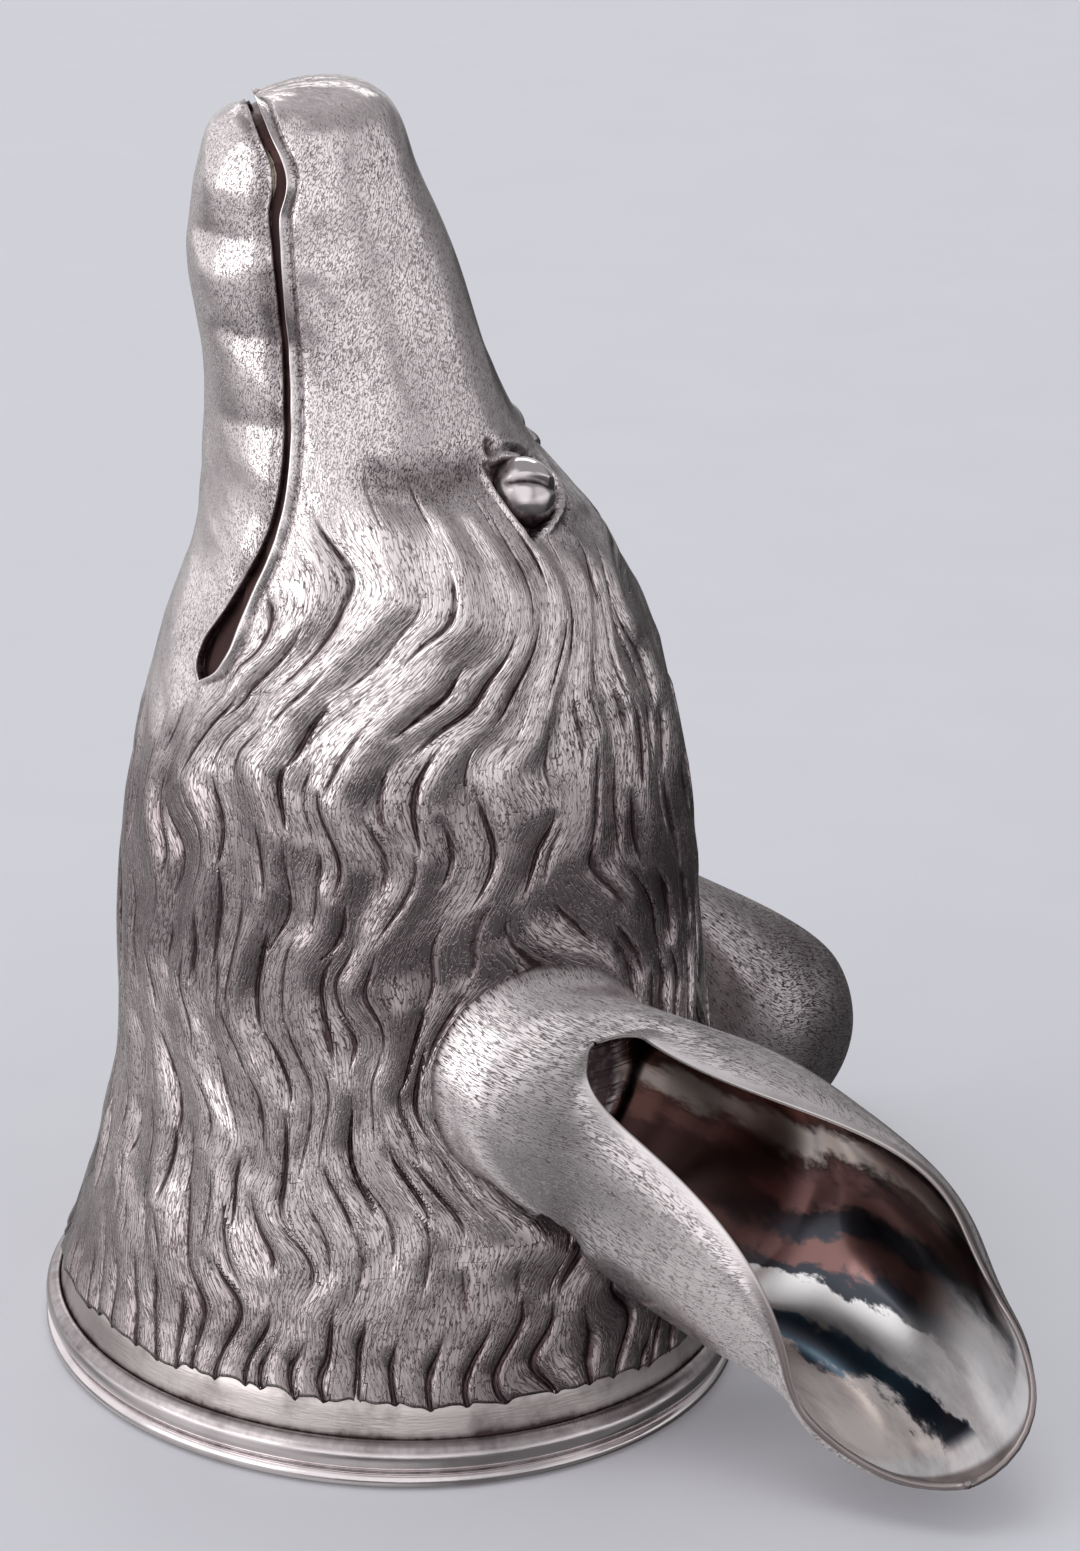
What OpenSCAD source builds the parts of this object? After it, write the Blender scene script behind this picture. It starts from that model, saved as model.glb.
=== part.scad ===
// Stirrup cup shaped as the head of a long-eared animal, standing on its drinking lip.
// The origin is the centre of the lip on the resting plane, and Z points up to the muzzle.
// X points to the brow and nape, and Y to the animal's right side.
// The head is a raised shell; eyes, ears, neck band and lip are soldered to it.

/* [Lip and neck band] */
// Diameter of the drinking mouth
mouth_d = 82.8; // [80:0.1:84]
// Width of the lip round the mouth
lip_wide = 3.6; // [3.2:0.1:4.2]
// Height of the lip moulding
lip_h = 6; // [5:0.1:7]
// Height of the plain bead at the foot of the lip
bead_h = 2.2; // [2.2:0.1:3]
// Depth of the rebate that the band stands in
rebate = 1.5; // [1:0.1:2]
// Height at which the hair starts above the resting plane
fringe_z = 9.6; // [9:0.1:10.5]
// Length of the band's tongue inside the head
lap = 2.4; // [1.5:0.1:2.8]

/* [Sheet] */
// Wall thickness of the head
wall = 1.2; // [0.9:0.05:1.4]
// Wall thickness of the ears
ear_wall = 1.3; // [1:0.05:1.6]
// Solder gap between pieces
gap = 0.12; // [0.08:0.01:0.16]

/* [Collar level] */
// Height of the level just above the fringe
collar_z = 19; // [16:0.5:22]
// Depth from throat to nape
collar_deep = 81.2; // [80:0.2:83]
// Offset of the level's middle toward the nape
collar_lean = 0.6; // [-0.5:0.1:1]
// Width from side to side
collar_wide = 80.5; // [80:0.5:83]

/* [Neck level] */
// Height of the narrowest part of the throat
neck_z = 36; // [32:0.5:40]
// Depth from throat to nape
neck_deep = 76.2; // [74:0.2:78]
// Offset of the level's middle toward the nape
neck_lean = 1.8; // [0:0.1:2.5]
// Width from side to side
neck_wide = 73; // [71:0.5:74]

/* [Ear level] */
// Height just above the ear roots
crown_z = 60; // [57:0.5:64]
// Depth from throat to nape
crown_deep = 72.8; // [71:0.2:75]
// Offset of the level's middle toward the nape
crown_lean = 0.4; // [-0.5:0.1:1.5]
// Width from side to side
crown_wide = 66; // [64:0.5:67]

/* [Cheek level] */
// Height of the fullest part of the cheeks
cheek_z = 80; // [77:0.5:84]
// Depth from throat to forehead
cheek_deep = 68.6; // [66:0.2:71]
// Offset of the level's middle toward the forehead
cheek_lean = -0.2; // [-1.5:0.1:1]
// Width from side to side
cheek_wide = 62; // [58:0.5:66]

/* [Jaw level] */
// Height of the corners of the mouth
jaw_z = 96; // [94:0.5:98]
// Depth from throat to forehead
jaw_deep = 60.4; // [58:0.2:63]
// Offset of the level's middle toward the forehead
jaw_lean = -0.8; // [-2:0.1:0.5]
// Width from side to side
jaw_wide = 56; // [52:0.5:60]

/* [Brow level] */
// Height of the forehead's upper end
brow_z = 108; // [106.5:0.5:110]
// Depth from jaw to forehead
brow_deep = 51; // [49:0.2:53]
// Offset of the level's middle toward the forehead
brow_lean = -2; // [-3:0.1:-1]
// Width from side to side
brow_wide = 48; // [45:0.5:51]

/* [Eye level] */
// Height of the hollow between the eyes
hollow_z = 118; // [116.5:0.5:120]
// Depth from jaw to hollow
hollow_deep = 41.2; // [39.5:0.2:43]
// Offset of the level's middle toward the throat
hollow_lean = -6.1; // [-7:0.1:-5]
// Width from side to side
hollow_wide = 38; // [36:0.5:41]

/* [Muzzle root level] */
// Height of the muzzle's root
root_z = 130; // [128:0.5:133]
// Depth from jaw to bridge
root_deep = 34.8; // [33.5:0.2:36]
// Offset of the level's middle toward the throat
root_lean = -9.6; // [-10.5:0.1:-9]
// Width from side to side
root_wide = 30; // [28.5:0.5:32]

/* [Mid muzzle level] */
// Height of the middle of the muzzle
muzzle_z = 144; // [142:0.5:147]
// Depth from jaw to bridge
muzzle_deep = 31.6; // [30:0.2:33]
// Offset of the level's middle toward the throat
muzzle_lean = -13.4; // [-14:0.1:-12.5]
// Width from side to side
muzzle_wide = 25.6; // [24:0.2:28]

/* [Nose level] */
// Height at which the rounded end starts
nose_z = 156; // [154:0.5:158]
// Depth from chin to bridge
nose_deep = 24.4; // [23:0.2:26]
// Offset of the level's middle toward the throat
nose_lean = -15.2; // [-16:0.1:-14.5]
// Width from side to side
nose_wide = 23; // [21.5:0.2:25]
// Height of the rounded end
nose_h = 7.6; // [6.5:0.1:9]
// Rise of the nose above the chin, as a slope
nose_tilt = 0.16; // [0.08:0.01:0.22]
// How much broader the brow side is than the jaw side
egg = 0.06; // [0:0.01:0.12]

/* [Mouth and eyes] */
// Width of the mouth slit along its straight run
slit_w = 1.3; // [1:0.1:2]
// Width of the teardrop at the corner of the mouth
corner_w = 2.8; // [2.4:0.1:4]
// How far the backing strip reaches past the slit on each side
backing_lap = 2.6; // [1.8:0.1:3]
// Thickness of the backing strip
backing_t = 0.8; // [0.6:0.05:1]
// Radius of the eye bead
eye_r = 5.2; // [4:0.1:5.2]
// Height of the eyes
eye_z = 116.6; // [115.5:0.1:118]
// Turn of the eyes round the head from the brow line
eye_turn = 36; // [30:0.5:36]
// Depth of the bead's centre below the surface
eye_sink = 2; // [2:0.1:3]

/* [Chased hair] */
// Distance between the main locks
lock_pitch = 9.6; // [9:0.1:11]
// Height of the main locks above and below the skin
lock_h = 0.4; // [0.2:0.05:0.6]
// Length of the waves in the hair
wave_long = 25; // [22:0.5:30]
// Sideways swing of the waves
wave_swing = 1.6; // [1:0.1:2.2]
// Sideways drift of the strands from the eye to the throat
cheek_drift = 21; // [16:0.5:24]
// Sideways drift of the strands from the eye to the forehead
brow_drift = 8; // [5:0.5:10]

/* [Ears] */
// Distance of the ear's root from the middle of the head, along X
ear_x = 13; // [11.5:0.1:14]
// Height of the ear's root
ear_z = 49; // [47.5:0.1:50.5]
// Inner radius of the root ring
ear_root_r = 11.2; // [10.2:0.1:12]
// Turn of the root ring about its own middle
ear_root_turn = 45; // [40:1:50]
// How straight the ear leaves the head
ear_rise = 12; // [11:0.5:14]
// How straight the front of the tube runs into the leaf
ear_run = 12; // [9:0.5:14]
// Curl radius where the leaf starts
curl_start = 17.4; // [16.8:0.1:18]
// Curl radius at a third of the leaf
curl_third = 16.4; // [15.5:0.1:17.5]
// Curl radius at two thirds of the leaf
curl_two_thirds = 14; // [13:0.1:15]
// Curl radius at the tip
curl_tip = 12.5; // [11.5:0.1:13.5]
// Where along the root tube the opening starts
keyhole = 0.39; // [0.35:0.01:0.45]

/* [Hidden] */
$fn = 96;
silver = [0.78, 0.77, 0.76];
bright_silver = [0.86, 0.85, 0.84];

mouth_r = mouth_d / 2;
lip_r = mouth_r + lip_wide;
// The head's foot stands a little proud of the band below it.
foot_r = lip_r - 2.3;
shoulder_r = foot_r - 0.3;
seat_z = lip_h - rebate;
band_r = lip_r - 1.75;

// The head's levels from the fringe to the nose.
level_z = [fringe_z, collar_z, neck_z, crown_z, cheek_z, jaw_z, brow_z, hollow_z, root_z, muzzle_z, nose_z];
level_deep = [2 * foot_r, collar_deep, neck_deep, crown_deep, cheek_deep, jaw_deep, brow_deep, hollow_deep,
              root_deep, muzzle_deep, nose_deep];
level_lean = [0, collar_lean, neck_lean, crown_lean, cheek_lean, jaw_lean, brow_lean, hollow_lean,
              root_lean, muzzle_lean, nose_lean];
level_wide = [2 * foot_r, collar_wide, neck_wide, crown_wide, cheek_wide, jaw_wide, brow_wide, hollow_wide,
              root_wide, muzzle_wide, nose_wide];

// Facets round the plain skin, up the inner skin, up the muzzle and over the rounded end.
turn_count = 52;
rise_count = 24;
muzzle_count = 9;
cap_count = 6;
// Rows of the hair, which has twice as many facets round it, and the height where these end.
hair_count = 28;
hair_end = hollow_z + 2;
// Upper edge of the hair from the forehead round to the throat: turn and height.
hair_turn = [0, 25, 50, 80, 105, 125, 140, 155, 180];
hair_top = [113, 110, 113, 117.5, 117, 113, 101, 91, 88];
// Turn at which strands run straight up, and the reach of the parting round the ear.
comb_turn = 75;
part_r = ear_root_r + ear_wall;

// Middle of the mouth slit seen from the side, from the corner up over the chin: x, z, width.
slit_path = [[-27.6, 94.2, 0.8], [-26.4, 96.8, corner_w], [-23.8, 102.8, 2.2], [-20.4, 110.8, 1.6],
             [-18.6, 117.5, slit_w], [-18.1, 128.5, slit_w], [-18.8, 138, 1.2], [-19.6, 146, slit_w],
             [-19.9, 150.5, 1.6], [-19.1, 154.4, 2], [-21, 159, 1.6], [-22.4, 163, slit_w],
             [-23, 170, slit_w]];

// Back line of the left ear from the end of its root tube to the tip.
ear_back = [[45, -20.5, 15.5], [49, -25.5, 13.5], [66, -38, 6], [62, -60, 7.5]];
// Direction that the left ear's hollow faces, and how far it turns along the leaf.
ear_face = [-0.12, -0.87, 0.47];
ear_turn = [-14, -17, 24];
// Angles of the sheet's upper and lower margin from its back line, from the keyhole to the tip.
leaf_at = [0, 0.18, 0.36, 0.5, 0.62, 0.69, 0.81, 0.92, 0.97, 1];
upper_half = [162, 148, 158, 165, 159, 142, 120, 96, 80, 4];
lower_half = [198, 183, 160, 155, 152, 146, 120, 98, 72, 4];
// The back of the tube turns into the leaf almost at once, to stay clear of the neck.
ear_run_back = 1;
// Rows along the closed tube, the open tube and the leaf, and points across the sheet.
tube_count = 6;
throat_count = 8;
leaf_count = 18;
across_count = 27;

function unit(v) = v / norm(v);
function step_up(t) = t <= 0 ? 0 : t >= 1 ? 1 : t * t * (3 - 2 * t);

// Smooth curve through the values v at the places x.
function span_at(x, q, i = 0) = i >= len(x) - 2 || q < x[i + 1] ? i : span_at(x, q, i + 1);
function rate(x, v, i) = (v[i + 1] - v[i]) / (x[i + 1] - x[i]);
function slope(x, v, i) =
    i == 0 ? rate(x, v, 0)
    : i == len(x) - 1 ? rate(x, v, i - 1)
    : (rate(x, v, i - 1) * (x[i + 1] - x[i]) + rate(x, v, i) * (x[i] - x[i - 1])) / (x[i + 1] - x[i - 1]);
function flow(x, v, q) =
    let (i = span_at(x, q), h = x[i + 1] - x[i], t = (q - x[i]) / h)
    (1 + 2 * t) * pow(1 - t, 2) * v[i] + t * pow(1 - t, 2) * h * slope(x, v, i)
    + t * t * (3 - 2 * t) * v[i + 1] + t * t * (t - 1) * h * slope(x, v, i + 1);

// The head's section at a height: middle, half depth, half width and egg.
function head_mid(z) = flow(level_z, level_lean, z);
function head_deep(z) = flow(level_z, level_deep, z) / 2;
function head_wide(z) = flow(level_z, level_wide, z) / 2;
function head_egg(z) = egg * step_up((z - neck_z) / (jaw_z - neck_z));
function head_point(z, a, inset = 0) =
    [head_mid(z) + (head_deep(z) - inset) * cos(a),
     (head_wide(z) - inset) * sin(a) * (1 + head_egg(z) * cos(a)),
     z];
// The rounded end, with q from 0 at the nose level to 90 at its top.
function cap_point(q, a, inset = 0) =
    let (p = head_point(nose_z, a, inset), m = nose_lean)
    [m + (p[0] - m) * cos(q),
     p[1] * cos(q),
     nose_z + (nose_h - inset + nose_tilt * (p[0] - m) * cos(q)) * sin(q)];
// Outward direction of the head's surface.
function head_normal(z, a) =
    let (round = head_point(z, a + 0.5) - head_point(z, a - 0.5),
         up = head_point(z + 0.2, a) - head_point(z - 0.2, a))
    unit(cross(round, up));
// Place on the animal's left side above a given x and height, lifted off the surface.
function side_angle(x, z) = -acos(max(-1, min(1, (x - head_mid(z)) / head_deep(z))));
function side_normal(x, z) =
    let (a = side_angle(x, z))
    unit([cos(a) / head_deep(z), sin(a) / head_wide(z), 0]);
function side_point(x, z, lift) = head_point(z, side_angle(x, z)) + lift * side_normal(x, z);

// Chased hair: where a strand lies across the comb, for a turn of 0 to 180 from the forehead.
function arc_at(z, a) = (head_deep(z) + head_wide(z)) / 2 * (a - comb_turn) * PI / 180;
function ear_gap(z, a) = [arc_at(z, a) - arc_at(ear_z, abs(side_angle(ear_x, ear_z))), z - ear_z];
function strand(z, a) =
    let (arc = arc_at(z, a),
         off = ear_gap(z, a),
         parted = arc - off[0] * part_r * part_r / max(off * off, part_r * part_r),
         middle = step_up(a / 26) * step_up((180 - a) / 24),
         throat = step_up((arc + 24) / 28),
         rise = step_up((z - cheek_z) / (hollow_z - cheek_z)),
         drift = (cheek_drift * throat - brow_drift * (1 - throat)) * rise,
         bend = 0.16 * sin(360 * (parted / 46 + z / 75)),
         sway = wave_swing * sin(360 * (z / wave_long + parted / 70 + bend)))
    parted + middle * (drift + sway);
// Height of the locks, which fade out at the fringe, at the hair's upper edge and round the ear.
function lock_at(z, a) =
    let (s = strand(z, a),
         coat = step_up((flow(hair_turn, hair_top, a) - z) / 5),
         low = step_up((z - collar_z) / 10),
         clear = step_up((norm(ear_gap(z, a)) - part_r - 1) / 4),
         bend = 0.18 * sin(360 * (z / 44 + s / 60)))
    coat == 0 || low == 0 || clear == 0 ? 0 : lock_h * coat * low * clear * cos(360 * (s / lock_pitch + bend));

// Rings of the skin, from the fringe to the rounded end.
function plain_ring(z, inset) =
    [for (j = [0 : turn_count - 1]) head_point(z, 360 * j / turn_count, inset)];
function cap_ring(q, inset) =
    [for (j = [0 : turn_count - 1]) cap_point(q, 360 * j / turn_count, inset)];
function hair_ring(z) =
    [for (j = [0 : 2 * turn_count - 1])
        let (a = 180 * j / turn_count)
        head_point(z, a, -lock_at(z, a > 180 ? 360 - a : a))];
function row_z(i) = fringe_z + (nose_z - fringe_z) * i / rise_count;
function cap_rings(inset) = [for (i = [1 : cap_count]) cap_ring(90 * i / (cap_count + 1), inset)];
function plain_rings(inset, first) =
    concat([for (i = [first : rise_count]) plain_ring(row_z(i), inset)], cap_rings(inset));
function hair_rings() =
    concat([for (i = [0 : hair_count]) hair_ring(fringe_z + (hair_end - fringe_z) * i / hair_count)],
           [for (i = [1 : muzzle_count]) plain_ring(hair_end + (nose_z - hair_end) * i / muzzle_count, 0)],
           cap_rings(0));
function backward(list) = [for (i = [len(list) - 1 : -1 : 0]) list[i]];

// Faces between two rings that have the same count, or one twice as many points as the other.
function ring_faces(a, n, b, m) =
    n == m
        ? [for (j = [0 : n - 1])
            let (k = (j + 1) % n)
            each [[a + j, b + j, b + k], [a + j, b + k, a + k]]]
        : n > m
        ? [for (j = [0 : m - 1])
            let (k = (j + 1) % m)
            each [[a + 2 * j, b + j, a + 2 * j + 1], [a + 2 * j + 1, b + j, b + k],
                  [a + 2 * j + 1, b + k, a + 2 * k]]]
        : [for (j = [0 : n - 1])
            let (k = (j + 1) % n)
            each [[a + j, b + 2 * j, b + 2 * j + 1], [a + j, b + 2 * j + 1, a + k],
                  [a + k, b + 2 * j + 1, b + 2 * k]]];
function start_of(rings, i) = i == 0 ? 0 : start_of(rings, i - 1) + len(rings[i - 1]);

// Shell from an inner skin up to its tip, round the fringe to an outer skin and its tip.
module head_layer(outer_rings, inner_rings, outer, inner) {
    rings = concat(backward(inner_rings), outer_rings);
    last = len(rings) - 1;
    end = start_of(rings, last + 1);
    last_start = start_of(rings, last);
    points = concat([for (r = rings) each r], [cap_point(90, 0, inner), cap_point(90, 0, outer)]);
    faces = concat(
        [for (j = [0 : turn_count - 1]) [end, j, (j + 1) % turn_count]],
        [for (i = [0 : last - 1])
            each ring_faces(start_of(rings, i), len(rings[i]), start_of(rings, i + 1), len(rings[i + 1]))],
        [for (j = [0 : turn_count - 1])
            [last_start + j, end + 1, last_start + (j + 1) % turn_count]]);
    polyhedron(points, faces, convexity = 6);
}

// Cutter with the side view of the mouth slit, widened on each side.
module slit_blade(extra) {
    at = [for (p = slit_path) p[1]];
    xs = [for (p = slit_path) p[0]];
    ws = [for (p = slit_path) p[2]];
    steps = 40;
    low = at[0] - extra * 0.6;
    high = at[len(at) - 1];
    heights = [for (k = [0 : steps]) low + (high - low) * k / steps];
    left = [for (z = heights) [flow(at, xs, max(z, at[0])) - flow(at, ws, max(z, at[0])) / 2 - extra, z]];
    right = [for (k = [steps : -1 : 0])
        let (z = heights[k])
        [flow(at, xs, max(z, at[0])) + flow(at, ws, max(z, at[0])) / 2 + extra, z]];
    rotate([90, 0, 0])
        linear_extrude(height = 2 * cheek_wide, center = true)
            polygon(concat(left, right));
}

function eye_centre(side) =
    head_point(eye_z, side * eye_turn) - eye_sink * head_normal(eye_z, side * eye_turn);
module eye_ball(side, r) {
    translate(eye_centre(side)) sphere(r = r);
}

module head_shell() {
    color(silver)
        difference() {
            head_layer(hair_rings(), plain_rings(wall, 0), 0, wall);
            slit_blade(0);
            eye_ball(-1, eye_r + gap);
            eye_ball(1, eye_r + gap);
        }
}

// Strip behind the mouth slit that keeps the cup tight.
module mouth_backing() {
    below_mouth = floor((slit_path[0][1] - 8 - fringe_z) / (nose_z - fringe_z) * rise_count);
    front = wall + gap;
    back = front + backing_t;
    color(bright_silver)
        intersection() {
            head_layer(plain_rings(front, below_mouth), plain_rings(back, below_mouth), front, back);
            slit_blade(backing_lap);
        }
}

// Domed bead with a flat back, set in its round socket.
module eye(side) {
    n = head_normal(eye_z, side * eye_turn);
    back_depth = wall + 0.4;
    color(bright_silver)
        difference() {
            eye_ball(side, eye_r);
            translate(eye_centre(side) + n * (eye_sink - back_depth))
                rotate([0, acos(n[2]), atan2(n[1], n[0])])
                    translate([0, 0, -eye_r])
                        cube([4 * eye_r, 4 * eye_r, 2 * eye_r], center = true);
        }
}

module left_eye() {
    eye(-1);
}

module right_eye() {
    eye(1);
}

// Cubic through four control points, and its direction.
function cubic(p, t) =
    pow(1 - t, 3) * p[0] + 3 * pow(1 - t, 2) * t * p[1] + 3 * (1 - t) * t * t * p[2] + pow(t, 3) * p[3];
function cubic_way(p, t) =
    unit(pow(1 - t, 2) * (p[1] - p[0]) + 2 * (1 - t) * t * (p[2] - p[1]) + t * t * (p[3] - p[2]));

// The leaf's curl at t: an arc of the curl radius about a centre in front of the back line.
curls = [curl_start, curl_third, curl_two_thirds, curl_tip];
function curl(t) = flow([0, 1 / 3, 2 / 3, 1], curls, t);
function open_way(t) =
    let (w = cubic_way(ear_back, t), f = unit(ear_face), o = unit(f - (f * w) * w),
         turn = flow([0, 0.5, 1], ear_turn, t))
    o * cos(turn) + cross(w, o) * sin(turn);
function leaf_point(t, a, out) =
    let (o = open_way(t), s = cross(cubic_way(ear_back, t), o), r = curl(t))
    cubic(ear_back, t) + r * o + (r + out) * (-cos(a) * o + sin(a) * s);
// The root tube runs from a ring on the head to the start of the leaf.
function tube_point(v, a, out) =
    let (x = ear_x + (ear_root_r + out) * cos(a + ear_root_turn),
         z = ear_z - (ear_root_r + out) * sin(a + ear_root_turn),
         start = side_point(x, z, gap),
         end = leaf_point(0, a, out),
         run = ear_run_back + (ear_run - ear_run_back) * (0.5 - 0.5 * cos(a)))
    cubic([start, start + ear_rise * side_normal(x, z), end - run * cubic_way(ear_back, 0), end], v);
// Places along the ear: 0 at the head, 1 at the start of the leaf, 2 at the tip.
ear_rows = concat(
    [for (k = [0 : tube_count]) keyhole * k / tube_count],
    [for (k = [1 : throat_count]) keyhole + (1 - keyhole) * pow(k / throat_count, 1.7)],
    [for (k = [1 : leaf_count]) 2 - pow(1 - k / leaf_count, 1.5)]);
function margin(halves, g) = flow(leaf_at, halves, sqrt(max(0, g - keyhole) / (2 - keyhole)));
function ear_point(g, u, out) =
    let (upper = margin(upper_half, g), lower = margin(lower_half, g),
         a = (lower - upper + (upper + lower) * u) / 2)
    g < 1 ? tube_point(g, a, out) : leaf_point(g - 1, a, out);

module ear_sheet() {
    rows = len(ear_rows);
    last = across_count - 1;
    inside = rows * across_count;
    points = concat(
        [for (g = ear_rows, j = [0 : last]) ear_point(g, 2 * j / last - 1, ear_wall)],
        [for (g = ear_rows, j = [0 : last]) ear_point(g, 2 * j / last - 1, 0)]);
    // In the closed tube the sheet's two edges are one line.
    function at(i, j, side = 0) = side + i * across_count + (i <= tube_count && j == last ? 0 : j);
    faces = concat(
        [for (i = [0 : rows - 2], j = [0 : last - 1])
            each [[at(i, j), at(i, j + 1), at(i + 1, j + 1)], [at(i, j), at(i + 1, j + 1), at(i + 1, j)]]],
        [for (i = [0 : rows - 2], j = [0 : last - 1])
            each [[at(i, j, inside), at(i + 1, j + 1, inside), at(i, j + 1, inside)],
                  [at(i, j, inside), at(i + 1, j, inside), at(i + 1, j + 1, inside)]]],
        [for (j = [0 : last - 1])
            each [[at(0, j), at(0, j + 1, inside), at(0, j + 1)],
                  [at(0, j), at(0, j, inside), at(0, j + 1, inside)],
                  [at(rows - 1, j), at(rows - 1, j + 1), at(rows - 1, j + 1, inside)],
                  [at(rows - 1, j), at(rows - 1, j + 1, inside), at(rows - 1, j, inside)]]],
        [for (i = [tube_count : rows - 2])
            each [[at(i, 0), at(i + 1, 0), at(i + 1, 0, inside)],
                  [at(i, 0), at(i + 1, 0, inside), at(i, 0, inside)],
                  [at(i, last), at(i + 1, last, inside), at(i + 1, last)],
                  [at(i, last), at(i, last, inside), at(i + 1, last, inside)]]]);
    polyhedron(points, faces, convexity = 8);
}

module left_ear() {
    color(silver) ear_sheet();
}

module right_ear() {
    color(silver) mirror([0, 1, 0]) ear_sheet();
}

// Radius inside the head that the band's tongue may fill at a height.
function tongue_r(z) = min(head_deep(z) - abs(head_mid(z)), head_wide(z)) - wall - 2 * gap;
// Plain flared band: foot in the lip's rebate, shoulder under the hair, tongue inside the head.
module neck_band() {
    tongue_wall = 1;
    tongue_top = fringe_z + lap;
    tongue = [for (k = [0 : 4]) let (z = fringe_z + lap * k / 4) [tongue_r(z), k == 0 ? z - gap : z]];
    color(bright_silver)
        rotate_extrude()
            polygon(concat(
                [[mouth_r, seat_z + gap],
                 [band_r - gap, seat_z + gap],
                 [band_r - gap, lip_h],
                 [shoulder_r, fringe_z - gap]],
                tongue,
                [[tongue_r(tongue_top) - tongue_wall, tongue_top],
                 [mouth_r - tongue_wall / 2, fringe_z - 2 * tongue_wall]]));
}

// Moulded wire: flat foot, bead, incised line, half-round moulding and rebate.
module lip_ring() {
    bead_c = bead_h / 2;
    roll_c = (bead_h + lip_h) / 2;
    roll_h = lip_h - bead_h;
    color(bright_silver)
        rotate_extrude()
            difference() {
                union() {
                    translate([mouth_r, 0]) square([lip_r - 0.6 - mouth_r, bead_h]);
                    translate([lip_r - 0.9, bead_c]) intersection() {
                        scale(0.9) translate([0, 0]) circle(r = bead_c / 0.9);
                        translate([0, -bead_c]) square([0.9, bead_h]);
                    }
                    translate([mouth_r, bead_h]) square([band_r - mouth_r + 0.35, roll_h]);
                    translate([band_r + 0.1, roll_c]) intersection() {
                        circle(r = roll_h / 2);
                        translate([0, -roll_h / 2]) square([roll_h / 2, roll_h]);
                    }
                }
                translate([mouth_r - 1, seat_z]) square([band_r - mouth_r + 1, rebate + 1]);
            }
}

head_shell();
mouth_backing();
left_eye();
right_eye();
left_ear();
right_ear();
neck_band();
lip_ring();
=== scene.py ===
# %% [markdown]
# # A silver stirrup cup, from bare solids to a finished picture
# The cup is an animal's head raised from sheet silver, standing on its drinking lip with the muzzle up.
# The frame brings the solids. This lesson dresses them with chased hair, lids, ears, band and lip,
# then gives them silver with its tarnish and some painted light and shade, and sets up the camera
# and the light.
# Sizes are in millimetres until a mesh is made, as the piece would be measured.

# %% Load the frame
import math
from functools import partial
import bpy
import numpy as np
from mathutils import Matrix, Vector
from numpy import arange, array, clip, cos, exp, linspace, maximum, minimum, sin, stack, where
from numpy import concatenate as join


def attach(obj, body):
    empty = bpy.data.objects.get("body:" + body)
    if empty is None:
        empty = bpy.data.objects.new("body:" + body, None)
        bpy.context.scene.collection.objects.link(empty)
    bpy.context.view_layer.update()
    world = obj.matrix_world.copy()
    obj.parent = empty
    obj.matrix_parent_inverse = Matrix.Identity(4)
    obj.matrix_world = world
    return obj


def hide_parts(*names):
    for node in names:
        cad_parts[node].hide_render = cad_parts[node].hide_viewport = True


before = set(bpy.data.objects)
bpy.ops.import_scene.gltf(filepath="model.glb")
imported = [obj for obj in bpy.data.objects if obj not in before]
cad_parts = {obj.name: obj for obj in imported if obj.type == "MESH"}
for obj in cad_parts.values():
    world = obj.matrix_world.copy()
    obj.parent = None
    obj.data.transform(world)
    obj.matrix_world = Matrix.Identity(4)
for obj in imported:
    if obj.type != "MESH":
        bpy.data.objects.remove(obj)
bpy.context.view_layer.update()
print("Solids in the frame:", *sorted(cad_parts))

# %% [markdown]
# ## Small tools
# `up` and `down` climb and fall softly over a given stretch, `hump` is a soft bump, `flow` draws a smooth
# curve through measured values, and `soft_noise` gives the unevenness of hand work. The noise is a formula,
# not a random generator, so every run gives the same cup.

# %% Ease, hump, flow and noise
def ease(t):
    t = clip(t, 0.0, 1.0)
    return t * t * (3.0 - 2.0 * t)


def up(x, start, over):
    return ease((x - start) / over)


def down(x, start, over):
    return ease((start - x) / over)


def hump(d, wide):
    return exp(-(d / wide) ** 2)


def flow(places, values, q):
    x = np.asarray(places, float)
    v = np.asarray(values, float)
    step = np.diff(x)
    rate = np.diff(v) / step
    slope = join([rate[:1], rate])
    slope[1:-1] = (rate[:-1] * step[1:] + rate[1:] * step[:-1]) / (step[:-1] + step[1:])
    i = clip(np.searchsorted(x, q, side="right") - 1, 0, len(x) - 2)
    h = x[i + 1] - x[i]
    t = (q - x[i]) / h
    start = (1 + 2 * t) * (1 - t) ** 2 * v[i] + t * (1 - t) ** 2 * h * slope[i]
    end = t * t * (3 - 2 * t) * v[i + 1] + t * t * (t - 1) * h * slope[i + 1]
    return start + end


def scatter(n, seed):
    x = sin(np.asarray(n, float) * 12.9898 + seed * 78.233) * 43758.5453
    return x - np.floor(x)


def soft_noise(x, y, seed):
    i = np.floor(x)
    j = np.floor(y)
    fx = ease(x - i)
    fy = ease(y - j)

    def row(n):
        return scatter(i + 57.0 * n, seed) * (1 - fx) + scatter(i + 1 + 57.0 * n, seed) * fx

    return 2 * (row(j) * (1 - fy) + row(j + 1) * fy) - 1


def unit(v):
    return v / maximum(np.linalg.norm(v, axis=-1, keepdims=True), 1e-12)

# %% [markdown]
# ## The head's form
# A silversmith checks a raised head with templates: how deep and how wide it is at each height, and how far
# its middle leans. The same levels shape the solid, so the skin made here fits it. Above the last level the
# nose closes in a dome. Its rows gather at the mouth slit, so that both edges of the slit can follow them.

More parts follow.
